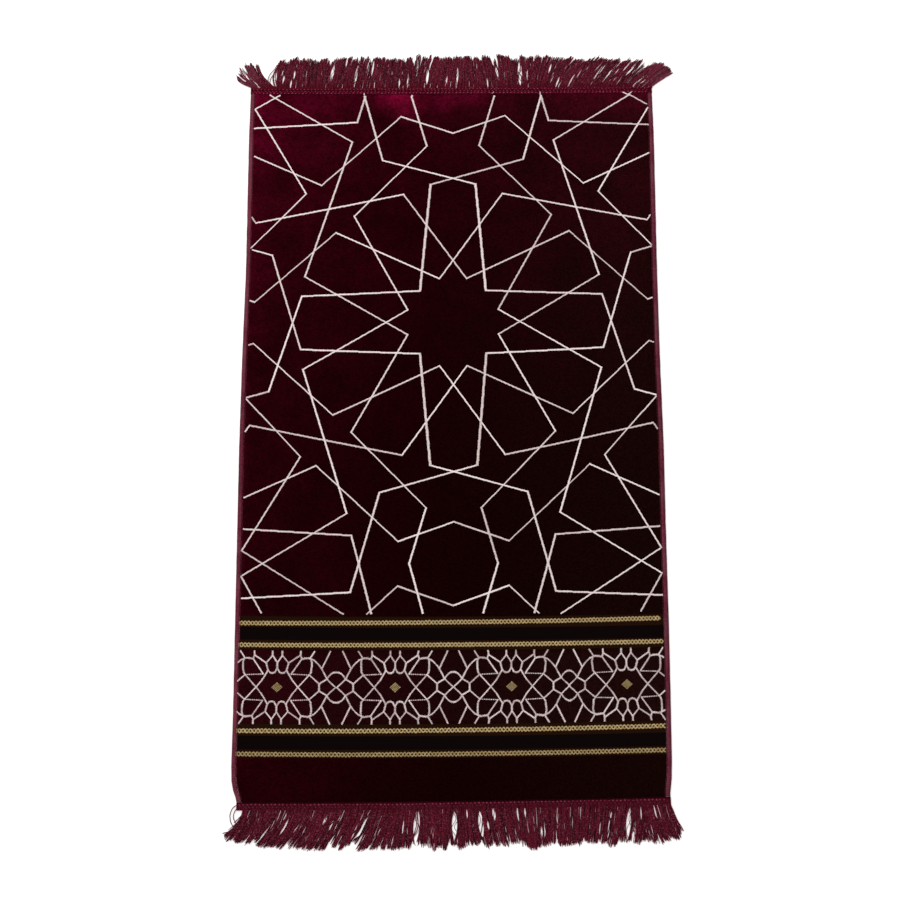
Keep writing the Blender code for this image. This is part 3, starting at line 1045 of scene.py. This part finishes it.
fringe = {
    "columns": ("rootTo", "tipFrom", "tipTo", "reach", "notch"),
    "threadMm": 1.3,
    "upper": (1.85, 0.30, 1.0),  # threads to a millimetre of tape, and how high they lie, from 0 to 1
    "under": (0.9, 0.0, 0.40),
    "points": 13,
    "lockMm": 5.5,            # threads sewn in together hang together, and their lock has a blunt tip
    "gather": 0.82,
    "clearMm": 0.9,           # beside a slit's own width, half a thread and its fuzz
    "lockReachMm": 1.9,
    "threadReachMm": 1.2,
    "lockLeanMm": 0.9,
    "tipMm": 1.1,
    "shortShare": 0.10,
    "crossing": (0.35, 3.0, 0.22),    # threads lower than this cross slits slimmer than this, and how often
    # the tufts at the head's corners splay out, in finer locks, and the left one also flares
    "tuftClumps": 4,
    "tuft": {"lockMm": 3.0, "gather": 1.0, "tipMm": 1.6, "bend": 0.85},
    "nearMm": 14.0,           # a slit pushes the threads aside up to this far off
    "slitEaseMm": 3,          # and starts to do so this far from its two ends
    "slitRound": 0.7,
    "rootSlitMm": {"head": 10.0, "foot": 70.0},  # between the small slits where bundles leave the tape
    "rootSlitFromMm": {"head": 42.0, "foot": 9.0},
    "rootSlitEndMm": 9.0,
    "swayMm": 0.9,
    "slitLean": {"head": ((-345, -1.5), (-339, -0.7), (-322, -0.3), (-300, 0.1), (-120, 0.15), (-60, 0.0),
                          (0, 0.2), (60, -0.1), (125, 0.0), (170, 0.3), (210, 0.55), (290, 0.7),
                          (306, 1.15), (315, 0.9)),
                 "foot": ((-320, -0.5), (-140, -0.4), (-80, -0.1), (0, 0.0), (60, 0.15), (130, 0.0),
                          (240, -0.15), (320, 0.3))},
    # 0.5 for a straight thread, more where it leaves the tape aslant, less where it leaves it upright
    "bend": {"head": ((-280, 0.38), (320, 0.38)), "foot": ((-320, 0.08), (-250, 0.22), (-120, 0.36))},
    "tapeHeightMm": 3.3,
    # where a thread starts, from the tape's outer edge: at the foot the upper ones lie over the tape
    "overTapeMm": 8.7,
    "overTapeLayer": 0.35,
    "tuckMm": 2.0,
    "sunkMm": 0.5,
    "rootHeightMm": (0.8, 2.7),  # of the lowest and the highest thread that leaves the tape's edge
    "layerMm": 1.6,           # the fringe's depth at its tips
    "curlMm": 0.3,
    "underShortMm": 2.0,      # how much shorter the lowest threads are
    "endMm": 0.5,             # no root nearer to the fringe's ends
    "tipShare": 0.55,         # how thick a thread still is at its free end
    # notches at the fringe's corners and beside a wide gap: half width, and how deep they leave it
    "cornerNotch": (4.0, 0.8),
    "gapNotch": (5.0, 0.85),
    "wideGapMm": 20,
    "notchMm": 2.5,
    # clumps from left to right: where the roots end, where the tips lie, how far they reach, and
    # how far the notch on the right of the clump stands off the tape
    "head": (
        -325.5, (
            (-318, -350, -345, 26, 22), (-312, -346, -339, 33, 27), (-302, -339, -328, 45, 44),
            (-286, -328, -315, 42, 7), (-278, -286, -268, 51, 49), (-255, -266, -250, 53, 48),
            (-243, -248, -241, 53, 44), (-223, -239, -222, 53, 44), (-209, -215, -204, 54, 46),
            (-194, -193, -183, 53, 50), (-162, -182, -154, 55, 46), (-139, -149, -134, 55, 35),
            (-114, -127, -110, 55, 50), (-77, -107, -80, 54, 46), (-65, -72, -67, 59, 41),
            (-57, -57, -52, 58, 43), (-50, -47, -40, 57, 46), (-8, -36, 0, 57, 53), (36, 2, 30, 57, 53),
            (54, 33, 46, 56, 44), (74, 51, 61, 59, 40), (96, 74, 92, 61, 53), (109, 93, 105, 54, 42),
            (129, 112, 133, 58, 40), (146, 138, 162, 58, 40), (159, 166, 180, 53, 45),
            (172, 185, 200, 54, 48), (193, 203, 226, 52, 50), (214, 230, 248, 53, 46),
            (228, 252, 265, 51, 48), (240, 266, 277, 54, 44), (249, 280, 285, 48, 30),
            (256, 288, 292, 51, 41), (266, 296, 301, 47, 41), (281, 304, 314, 50, 32),
            (288, 320, 329, 38, 37), (297, 331, 341, 43, 41),
            (309, 341, 350, 42, 37), (319, 350, 356, 37, 32), (326, 356, 360, 31, 20),
        ),
    ),
    "foot": (
        -311.0, (
            (-306, -338, -325, 45, 41), (-267, -324, -299, 45, 37), (-233, -290, -265, 53, 51),
            (-220, -264, -251, 54, 35), (-202, -242, -228, 53, 50), (-177, -227, -203, 57, 51),
            (-165, -201, -190, 58, 25), (-123, -181, -157, 52, 37), (-106, -144, -131, 58, 55),
            (-92, -131, -115, 56, 45), (-85, -110, -102, 57, 47), (-60, -99, -67, 57, 41),
            (-39, -54, -41, 53, 46), (-6, -38, -9, 57, 50), (3, -8, 1, 53, 49), (14, 5, 18, 57, 51),
            (31, 19, 32, 54, 48), (56, 45, 65, 55, 48), (70, 67, 77, 53, 44), (94, 83, 100, 51, 48),
            (125, 102, 125, 59, 52), (139, 126, 136, 54, 51), (149, 137, 147, 54, 44),
            (189, 151, 183, 55, 44), (232, 190, 220, 52, 47), (247, 225, 237, 58, 50),
            (264, 239, 256, 53, 29), (273, 260, 273, 54, 48), (278, 275, 284, 51, 39),
            (290, 288, 308, 53, 48), (316, 310, 330, 49, 28),
        ),
    ),
    # slits where the threads part and the floor shows: across, from and to off the tape, width
    "headSlits": (
        (-275.1, 10.9, 21.8, 2.2), (-257.5, 18.3, 31.0, 2.2), (-263.0, 0.1, 14.6, 2.2),
        (-195.4, 15.0, 40.4, 4.5), (-157.1, 2.4, 40.5, 3.3), (-136.9, 22.3, 51.5, 2.7),
        (-129.5, 22.3, 51.5, 2.2), (-172.3, 40.5, 55.1, 2.0), (-85.9, 6.0, 15.1, 1.8),
        (-72.2, 0.6, 22.3, 2.7), (-56.9, 15.0, 58.7, 2.7), (-40.5, 7.8, 35.0, 3.9),
        (8.1, 2.2, 33.0, 2.7), (-9.2, 4.1, 22.2, 2.0), (73.5, 18.2, 38.2, 3.4),
        (57.8, 0.1, 18.2, 1.5), (110.8, 5.3, 48.9, 6.3), (123.3, 16.0, 32.3, 2.4),
        (160.3, 28.5, 43.1, 2.2), (163.7, 10.3, 28.5, 1.9), (172.0, 1.1, 19.3, 2.2),
        (193.6, 2.8, 20.9, 1.6), (207.5, 17.1, 33.5, 1.4), (235.1, 4.1, 38.6, 1.5),
        (245.7, 25.8, 40.3, 1.6), (251.4, 5.7, 31.1, 1.1), (272.4, 1.9, 20.0, 1.0),
        (286.0, 30.0, 45.0, 2.0), (293.5, 21.0, 45.0, 3.6), (306.0, 2.5, 22.0, 3.8),
        (309.5, 0.5, 15.0, 3.0), (315.0, 0.5, 10.5, 3.0), (-338.5, 13.0, 36.0, 3.4),
        (-339.5, 28.0, 42.0, 1.6), (-345.5, 13.0, 25.0, 1.8), (-322.3, 31.0, 47.0, 1.6),
        (-317.5, 1.0, 9.0, 0.5),
    ),
    "footSlits": (
        (-266.0, 14.0, 26.0, 0.8), (-248.4, 6.0, 12.0, 2.0), (-249.5, 15.0, 34.0, 2.2),
        (-220.7, 24.0, 36.0, 0.9), (-190.2, 9.0, 21.0, 3.2), (-181.2, 16.0, 29.0, 1.8),
        (-146.1, 20.5, 40.8, 1.2), (-135.9, 14.7, 37.9, 2.4), (-114.1, 12.0, 38.0, 1.2),
        (-76.1, 15.3, 35.7, 1.3),
        (-56.4, 1.0, 47.0, 8.5), (-0.9, 4.6, 42.0, 7.2), (17.4, 0.4, 13.6, 1.6),
        (37.7, 5.1, 39.9, 6.6), (47.9, 19.8, 28.5, 2.0), (56.9, 0.0, 17.0, 3.9),
        (91.9, 0.1, 17.6, 2.2), (102.2, 0.3, 11.9, 2.0), (125.9, 27.0, 44.3, 3.0),
        (131.1, 15.5, 41.6, 1.4), (149.6, 7.1, 21.6, 2.0), (184.1, 2.0, 19.4, 0.9),
        (211.4, 17.1, 43.1, 0.9), (224.4, 17.4, 45.0, 2.2), (253.1, 6.4, 47.1, 6.3),
        (260.8, 24.1, 53.0, 2.7), (271.8, 1.1, 21.4, 1.2), (292.4, 1.5, 16.1, 1.2),
        (287.0, 29.1, 47.9, 1.0), (227.9, 8.8, 17.5, 1.5),
    ),
    # loose threads that bulge out or cross a gap, as points across and along
    "strays": (
        ((-303.0, 409.0), (-300.3, 419.3), (-300.0, 426.6), (-295.8, 435.6), (-290.2, 442.9),
         (-285.5, 452.0)),
        ((-299.0, 409.0), (-297.0, 418.4), (-296.3, 424.7), (-292.4, 432.0), (-287.7, 439.3),
         (-283.1, 455.6)),
        ((-286.0, 407.0), (-289.4, 415.0), (-291.3, 425.5), (-289.7, 436.5), (-284.5, 450.0),
         (-277.0, 460.0)),
        ((-288.0, 407.0), (-291.5, 417.0), (-292.6, 427.0), (-291.0, 436.0), (-286.5, 446.0),
         (-281.0, 456.0)),
        ((-284.0, 407.0), (-287.5, 418.0), (-288.6, 429.0), (-286.4, 440.0), (-281.0, 452.0),
         (-272.0, 462.0)),
        ((-314.0, -752.5), (-316.7, -755.6), (-325.1, -761.1), (-328.8, -769.7), (-329.0, -775.7),
         (-326.9, -784.2), (-319.2, -793.5)),
        ((-312.0, -754.0), (-315.9, -760.0), (-321.4, -764.8), (-324.2, -773.4), (-322.1, -780.6),
         (-316.4, -789.6)),
        ((-306.0, -766.0), (-312.0, -772.1), (-317.2, -777.5), (-323.3, -783.0)),
        ((-304.0, -771.0), (-310.0, -778.2), (-315.6, -784.0), (-321.3, -789.1)),
        ((-308.0, -788.0), (-319.8, -792.0), (-329.6, -795.7), (-339.9, -798.1)),
        ((-309.0, -791.0), (-319.7, -794.9), (-329.8, -799.2), (-336.1, -801.0)),
        ((313.0, -752.0), (317.0, -762.2), (320.4, -770.6), (323.0, -782.9), (323.3, -791.3),
         (326.3, -801.4)),
        ((-53.0, -762.0), (-55.0, -768.2), (-54.2, -788.5), (-58.6, -800.1), (-64.4, -807.3),
         (-70.2, -810.2)),
        ((-57.0, -762.0), (-58.6, -768.2), (-56.4, -785.6), (-60.1, -800.1), (-62.9, -811.7)),
        ((40.0, -770.0), (39.2, -788.9), (37.6, -803.3), (41.9, -812.0)),
        ((113.0, 412.0), (112.9, 428.0), (109.4, 434.0), (104.6, 440.1)),
        ((108.0, 412.0), (108.5, 428.0), (111.6, 440.0), (110.8, 458.0)),
    ),
    # how many points a stray has, its half thickness, and its height at its root and at its tip
    "stray": (16, 0.65, 2.6, 1.0),
    # curly threads in the slits from this width on: how many, their points and half thickness
    "loose": (2.7, 2, 16, 0.36),
}


def seamAt(way, x):
    # where the tape meets the cloth, at the head end (way 1) or the foot end (way -1)
    alongMm = headMm if way > 0 else footMm
    return alongMm + drift(clothRow(alongMm), x) + way * layout["gapMm"]


def outerAt(way, x):
    return seamAt(way, x) + way * layout["tapeMm"]


def stops(table, value):
    # straight-line reading of a table of (place, value)
    return float(np.interp(value, [row[0] for row in table], [row[1] for row in table]))


def slitSides(slits, path, layer, uneven):
    # The slits near a thread, each with its lean and the side on which the thread passes it. A few
    # of the lower threads cross a slim slit instead.
    lowLayer, slim, often = fringe["crossing"]
    passed = []
    for across, low, high, width, lean in slits:
        away = path(max((low + high) / 2, 0.0)) - across
        crosses = layer < lowLayer and width < slim and uneven.random() < often
        if abs(away) < fringe["nearMm"] and not crosses:
            passed.append((across, low, high, width, lean, 1 if away >= 0 else -1))
    return passed


def slitShift(x, out, passed):
    # where a thread lies once it is pushed clear of the slits that it passes
    ease = fringe["slitEaseMm"]
    for across, low, high, width, lean, side in passed:
        share = (out - low + ease) / (high - low + 2 * ease)
        if 0 < share < 1:
            line = across + lean * (out - (low + high) / 2)
            clear = width / 2 + fringe["clearMm"] * min(1.0, width)
            clear *= math.sin(math.pi * share) ** fringe["slitRound"]
            away = max(side * (x - line), 0.0)
            x = line + side * math.hypot(away, clear)
    return x


def rootSlits(end, seed):
    # small gaps beside the tape, where one bundle ends and the next begins
    uneven = random.Random(seed)
    x = fringe[end][0] + fringe["rootSlitFromMm"][end]
    last = fringe[end][1][-1][0] - fringe["rootSlitEndMm"]
    slits = []
    while x < last:
        low = uneven.uniform(0.0, 3.0)
        slits.append((x, low, low + uneven.uniform(5.0, 10.0), uneven.uniform(0.2, 0.8)))
        x += fringe["rootSlitMm"][end] * uneven.uniform(0.6, 1.4)
    return slits


def threadStrand(way, root, tip, reach, bend, layer, slits, uneven):
    # one thread from its root in the tape to its free end; layer is how high it lies, from 0 to 1
    count = fringe["points"]
    radius = fringe["threadMm"] / 2 * uneven.uniform(0.8, 1.15)
    overTape = way < 0 and layer > fringe["overTapeLayer"]
    start = -fringe["overTapeMm"] if overTape else -fringe["tuckMm"]
    lowest, highest = fringe["rootHeightMm"]
    base = fringe["tapeHeightMm"] - fringe["sunkMm"] if overTape else lowest + (highest - lowest) * layer
    waves = []
    for number in range(2):
        size = uneven.uniform(0.25, 1.0) * fringe["swayMm"] / (1 + number)
        speed = uneven.uniform(3, 9) * (1 + 1.2 * number)
        waves.append((size, speed, uneven.uniform(0, 6.28)))

    def freeShare(out):
        return min(max(0.0, out / reach), 1.0)

    def path(out):
        free = freeShare(out)
        x = root + (tip - root) * (2 * free * (1 - free) * bend + free * free)
        sway = sum(size * math.sin(speed * free + phase) for size, speed, phase in waves)
        return x + sway * min(1.0, 2 * free)

    passed = slitSides(slits, path, layer, uneven)
    points, radii = [], []
    for i in range(count):
        out = start + (reach - start) * (i / (count - 1))
        free = freeShare(out)
        x = slitShift(path(out), out, passed) if free > 0 else path(out)
        lift = radius + (base - radius) * (1 - free) ** 1.5 + fringe["layerMm"] * layer * free
        lift += fringe["curlMm"] * math.sin(waves[0][1] * free) * free
        points.append(fromRosette(x, outerAt(way, x) + way * out, max(lift, radius)))
        radii.append(radius * mm * (fringe["tipShare"] if i == count - 1 else 1.0))
    return points, radii


def clumpShapes(end):
    # each clump with its roots, its tips spread into the gaps beside it, and the notches there
    root, rows = fringe[end]
    clumps = [dict(zip(fringe["columns"], row)) for row in rows]
    for number, clump in enumerate(clumps):
        clump["rootFrom"] = clumps[number - 1]["rootTo"] if number else root
        clump["notches"] = []
        clump["spread"] = [clump["tipFrom"], clump["tipTo"]]
        for side, other in ((0, number - 1), (1, number + 1)):
            edge = clump["spread"][side]
            if not 0 <= other < len(clumps):
                half, left = fringe["cornerNotch"]
                clump["notches"].append((edge, half, left * clump["reach"]))
                continue
            gap = clumps[other]["tipFrom"] - edge if side else edge - clumps[other]["tipTo"]
            notch = clump["notch"] if side else clumps[other]["notch"]
            if gap > fringe["wideGapMm"]:
                half, left = fringe["gapNotch"]
                clump["notches"].append((edge, half, left * clump["reach"]))
                continue
            half = max(gap / 2, 0.0)
            clump["spread"][side] += half * (1 if side else -1)
            clump["notches"].append((clump["spread"][side], max(half, fringe["notchMm"]), notch))
    return clumps


def fringeStrands(end, way, seed, layers):
    first, last = fringe[end][0] + fringe["endMm"], fringe[end][1][-1][0] - fringe["endMm"]
    perMm, lowest, highest = layers
    slits = [slit + (stops(fringe["slitLean"][end], slit[0]),)
             for slit in fringe[end + "Slits"] + tuple(rootSlits(end, 45 + way))]
    uneven = random.Random(seed)
    strands = []
    clumps = clumpShapes(end)
    for number, clump in enumerate(clumps):
        width = clump["rootTo"] - clump["rootFrom"]
        low, high = clump["spread"]
        tufts = fringe["tuftClumps"] if end == "head" else 0
        splayed = not tufts <= number < len(clumps) - tufts
        manner = fringe["tuft"] if splayed else fringe
        locks = max(1, round((high - low) / manner["lockMm"]))
        count = max(3, round(max(width, 0.9 * (high - low)) * perMm / locks))
        for lock in range(locks):
            lockReach = uneven.gauss(0, fringe["lockReachMm"])
            lockLean = uneven.gauss(0, fringe["lockLeanMm"])
            for i in range(count):
                u = min(max(2 * (i + uneven.uniform(-0.3, 1.3)) / count - 1, -1.0), 1.0)
                layer = uneven.uniform(lowest, highest)
                start = clump["rootFrom"] + width * ((lock + 0.5 + u / 2) + uneven.gauss(0, 0.2)) / locks
                start = min(max(start, first), last)
                tip = low + (high - low) * (lock + 0.5 + u / 2 * manner["gather"]) / locks
                reach = clump["reach"]
                for middle, half, notch in clump["notches"]:
                    near = abs(tip - middle) / half
                    if near < 1 and notch < reach:
                        reach = notch + (clump["reach"] - notch) * near
                tip += lockLean + uneven.gauss(0, manner["tipMm"])
                reach += lockReach + uneven.gauss(0, fringe["threadReachMm"])
                reach -= fringe["underShortMm"] * (1 - layer)
                if uneven.random() < fringe["shortShare"]:
                    reach *= uneven.uniform(0.6, 0.9)
                flared = number < tufts
                bend = fringe["tuft"]["bend"] if flared else stops(fringe["bend"][end], start)
                strands.append(threadStrand(way, start, tip, reach, bend, layer, slits, uneven))
    return strands


def looseStrands(end, way, seed):
    # thin curly threads that hang in the wider slits
    uneven = random.Random(seed)
    fromWidth, number, count, half = fringe["loose"]
    strands = []
    for across, low, high, width in fringe[end + "Slits"]:
        if width < fromWidth:
            continue
        lean = stops(fringe["slitLean"][end], across)
        for k in range(number):
            points, radii = [], []
            phase, speed = uneven.uniform(0, 6.28), uneven.uniform(5, 12)
            shift = uneven.uniform(-0.5, 0.5) * width
            for i in range(count):
                t = i / (count - 1)
                out = max(0.0, low - 6) + (high + 8 - low) * t
                x = across + shift + lean * (out - (low + high) / 2)
                x += width * 0.45 * math.sin(speed * t + phase)
                points.append(fromRosette(x, outerAt(way, x) + way * out, 1.9 - 1.1 * t))
                radii.append(half * mm * (0.4 if i == count - 1 else 1.0))
            strands.append((points, radii))
    return strands


def strayStrands(way):
    # smoothed through their own points, lying a little above the floor
    count, half, rootHeight, tipHeight = fringe["stray"]
    strands = []
    for chain in fringe["strays"]:
        if (chain[0][1] > 0) != (way > 0):
            continue
        points, radii = [], []
        for i in range(count):
            t = i / (count - 1) * (len(chain) - 1)
            k = min(int(t), len(chain) - 2)
            f = t - k
            nearest = chain[max(k - 1, 0)], chain[k], chain[k + 1], chain[min(k + 2, len(chain) - 1)]
            x, y = (
                0.5 * (2 * p1 + (p2 - p0) * f + (2 * p0 - 5 * p1 + 4 * p2 - p3) * f * f
                       + (3 * p1 - 3 * p2 + p3 - p0) * f ** 3)
                for p0, p1, p2, p3 in zip(*nearest)
            )
            points.append(fromRosette(x, y, rootHeight - (rootHeight - tipHeight) * i / (count - 1)))
            radii.append(half * mm * (0.35 if i == count - 1 else 1.0))
        strands.append((points, radii))
    return strands


tape = {
    # share of the width from the seam, and height: a ridge under the stitching, then a groove
    "profile": (
        (0.0, 0.0), (0.0, 0.70), (0.08, 0.86), (0.20, 0.97), (0.36, 0.97), (0.50, 0.80), (0.64, 0.78),
        (0.80, 0.92), (1.0, 0.75), (1.0, 0.0),
    ),
    "steps": 260,
    "swellMm": 0.12,
    "ribMm": 0.18,
    # from and to across the profile, where painted shade darkens the tape beside the seam
    "seam": {"head": (0.22, 0.14), "foot": (0.33, 0.26)},
    # the middle of the groove, which gets painted shade
    "groove": 0.55,
}


def makeTape(name, way):
    row = clothRow(headMm if way > 0 else footMm)
    profile = tape["profile"]

    def shape(i, j):
        share, up = profile[i % len(profile)]
        x = row["left"] + (row["right"] - row["left"]) * j / tape["steps"]
        z = up * fringe["tapeHeightMm"]
        if up > 0.5:
            z += tape["swellMm"] * noise.noise(Vector((x * 0.4, share * 5, way)))
            z -= tape["ribMm"] * (j % 2)
        return fromRosette(x, seamAt(way, x) + way * layout["tapeMm"] * share, z)

    piece = gridPiece(name, len(profile), tape["steps"], shape)
    closeTube(piece, 50)
    return piece


stitching = {
    "pitchMm": 5.8,
    # rows of dots: how far off the first row, their shift in pitches, climb, length and thickness
    "head": ((0.0, 0.0, 0.5, 2.3, 1.7), (3.4, 0.5, -0.6, 2.0, 1.0), (6.8, 0.2, 0.5, 2.2, 1.4)),
    "foot": ((0.0, 0.0, 0.4, 2.8, 2.4), (3.6, 0.5, 1.3, 2.2, 0.9)),
    # how far the first row stands off the seam, by the place across
    "off": {"head": ((-320, 0.9), (-150, 2.0), (0, 3.1), (160, 2.6), (320, 1.9)),
            "foot": ((-300, 3.6), (-70, 4.4), (0, 3.7), (130, 3.2), (250, 4.0))},
    "endsMm": (3.0, 6.0),
    "sunkMm": 0.35,
    "riseMm": 0.45,
    "yarn": ((0.0, 0.35), (0.25, 0.9), (0.5, 1.0), (0.75, 0.9), (1.0, 0.35)),    # along, and how thick
}


def stitchStrands(end, way):
    # rows of short stitches along the tape; at the foot the first row is plump knots
    row = clothRow(headMm if way > 0 else footMm)
    uneven = random.Random(21 + way)
    level = fringe["tapeHeightMm"] - stitching["sunkMm"]
    strands = []
    for offMm, shift, climbMm, longMm, thickMm in stitching[end]:
        x = row["left"] + stitching["endsMm"][0] + shift * stitching["pitchMm"]
        while x < row["right"] - stitching["endsMm"][1]:
            off = stops(stitching["off"][end], x) + offMm + uneven.uniform(-0.4, 0.4)
            reach = longMm * uneven.uniform(0.7, 1.1)
            points = [fromRosette(x + reach * share,
                                  seamAt(way, x + reach * share) + way * (off + climbMm * (share - 0.5)),
                                  level + stitching["riseMm"] * math.sin(math.pi * share))
                      for share, full in stitching["yarn"]]
            strands.append((points, [thickMm / 2 * full * mm for share, full in stitching["yarn"]]))
            x += stitching["pitchMm"] * uneven.uniform(0.93, 1.07)
    return strands


def tapeCotton(name, seamShadeFrom, seamShadeTo):
    # Knitted cotton tape: painted shade in the seam and in its groove, mottled where the loops stand up.
    material, tree = newMaterial(name, {"Roughness": 0.9, "Specular IOR Level": 0.03})
    coords = addNode(tree, "TexCoord")["Object"]
    across = addNode(tree, "SeparateXYZ", (addNode(tree, "UVMap", uv_map="UVMap")["UV"],))["X"]
    loops = patches(tree, coords, 2.0)
    colour = tinted(tree, "#240006", "#58041C", loops, 0.35, 0.68)
    # painted shade in the groove and beside the seam
    colour = tinted(tree, colour, "#1A0006", offFrom(tree, across, tape["groove"]), 0.14, 0.0, 0.0, 0.6)
    colour = tinted(tree, colour, "#120004", across, seamShadeFrom, seamShadeTo, 0.0, 0.85)
    return coat(material, colour, loops, 0.7, 0.4)


print("fringes")
acrylic = {"turns": 17, "plyShade": 0.62, "roughness": 0.85, "sheen": 0.0, "fuzzAndGlintMm": 2.0}
cotton = {"turns": 4, "plyShade": 0.3, "roughness": 0.8, "sheen": 0.0, "fuzzAndGlintMm": 1.8}
fringeYarns = {
    "head": spunYarn("twistedAcrylicHead", "#1E0004", "#640D22", "#965064", root="#44000F", **acrylic),
    "foot": spunYarn("twistedAcrylicFoot", "#180002", "#620B20", "#8A4860", root="#36000B", **acrylic),
}
# a darker copy of the fringe yarn for the lower threads: painted shade under the upper threads
shadedYarn = spunYarn("twistedAcrylicShaded", "#140003", "#36020E", "#6A1E34", turns=17, plyShade=0.55,
                      roughness=0.85, sheen=0.0, fuzzAndGlintMm=2.2, root="#28000A")
stitchYarns = {
    "head": spunYarn("stitchCottonHead", "#6A2036", "#8C4258", "#A4687A", **cotton),
    "foot": spunYarn("stitchCottonFoot", "#521226", "#743046", "#8C4C60", **cotton),
}
threadPieces = []
for end, way, node in (("head", 1, "fringe_head"), ("foot", -1, "fringe_foot")):
    title = end.capitalize()
    upper = fringeStrands(end, way, 40 + way, fringe["upper"])
    threads = yarnPiece("fringe" + title, upper + looseStrands(end, way, 60 + way) + strayStrands(way), 6)
    under = yarnPiece("fringeUnder" + title, fringeStrands(end, way, 80 + way, fringe["under"]), 4)
    band = makeTape("tape" + title, way)
    stitches = yarnPiece("stitches" + title, stitchStrands(end, way), 6)
    dress(threads, fringeYarns[end], [node])
    dress(under, shadedYarn, [node])
    dress(band, tapeCotton("knittedTape" + title, *tape["seam"][end]), [node])
    dress(stitches, stitchYarns[end])
    threadPieces += [threads, under, band, stitches]


# floor, light and camera

studio = {
    "floor": "#D3E3DE",
    "glow": "#FFC6D4",        # a light table under the paper, so that gaps in the fringe stay pale
    "floorGlow": 0.32,
    "floorSize": 14.0,
    "floorDrop": 0.0004,      # keeps the paper clear of the cloth's underside
    "worldStrength": 0.95,
    "boxSize": 3.0,
    "boxPower": 70.0,
    "boxPlace": (-1.0, 1.2, 2.8),
}


def makeFloor():
    deselectAll()
    bpy.ops.mesh.primitive_grid_add(x_subdivisions=2, y_subdivisions=2, size=studio["floorSize"])
    floor = bpy.context.object
    floor.name = "floor"
    for vertex in floor.data.vertices:
        vertex.co.z = -studio["floorDrop"]
    # Matt studio paper: even, near white
    paper = newMaterial("studioPaper", {
        "Base Color": studio["floor"], "Roughness": 0.95, "Specular IOR Level": 0.1,
        "Emission Color": studio["glow"], "Emission Strength": studio["floorGlow"],
    })[0]
    floor.data.materials.append(paper)


def makeLights():
    world = bpy.context.scene.world or bpy.data.worlds.new("studio")
    bpy.context.scene.world = world
    world.use_nodes = True
    background = world.node_tree.nodes["Background"]
    background.inputs["Color"].default_value = (1.0, 1.0, 1.0, 1.0)
    background.inputs["Strength"].default_value = studio["worldStrength"]
    deselectAll()
    bpy.ops.object.light_add(type="AREA", location=studio["boxPlace"])
    box = bpy.context.object
    box.name = "softBox"
    box.data.shape = "SQUARE"
    box.data.size = studio["boxSize"]
    box.data.energy = studio["boxPower"]
    aim = Vector((0, 0, 0)) - Vector(studio["boxPlace"])
    box.rotation_euler = aim.to_track_quat("-Z", "Y").to_euler()


camera = {
    "lensMm": 85.78,
    "sensorMm": 36.0,
    "tiltDegrees": 17.8,      # off straight down, from beyond the foot end
    "turnDegrees": -0.1985,
    "distance": 3.3081,
    "targetMm": (-5.54, -211.67),
    "farthest": 60.0,
}


def makeCamera():
    tilt, turn = math.radians(camera["tiltDegrees"]), math.radians(camera["turnDegrees"])
    back = camera["distance"] * math.sin(tilt)
    x = rosetteX + camera["targetMm"][0] * mm + back * math.sin(turn)
    y = rosetteY + camera["targetMm"][1] * mm - back * math.cos(turn)
    bpy.ops.object.camera_add(location=(x, y, camera["distance"] * math.cos(tilt)),
                              rotation=(tilt, 0.0, turn))
    view = bpy.context.object
    view.data.lens = camera["lensMm"]
    view.data.sensor_width = camera["sensorMm"]
    view.data.clip_end = camera["farthest"]
    bpy.context.scene.camera = view


print("studio")
makeFloor()
makeLights()
makeCamera()
bpy.context.scene.view_settings.view_transform = "Standard"
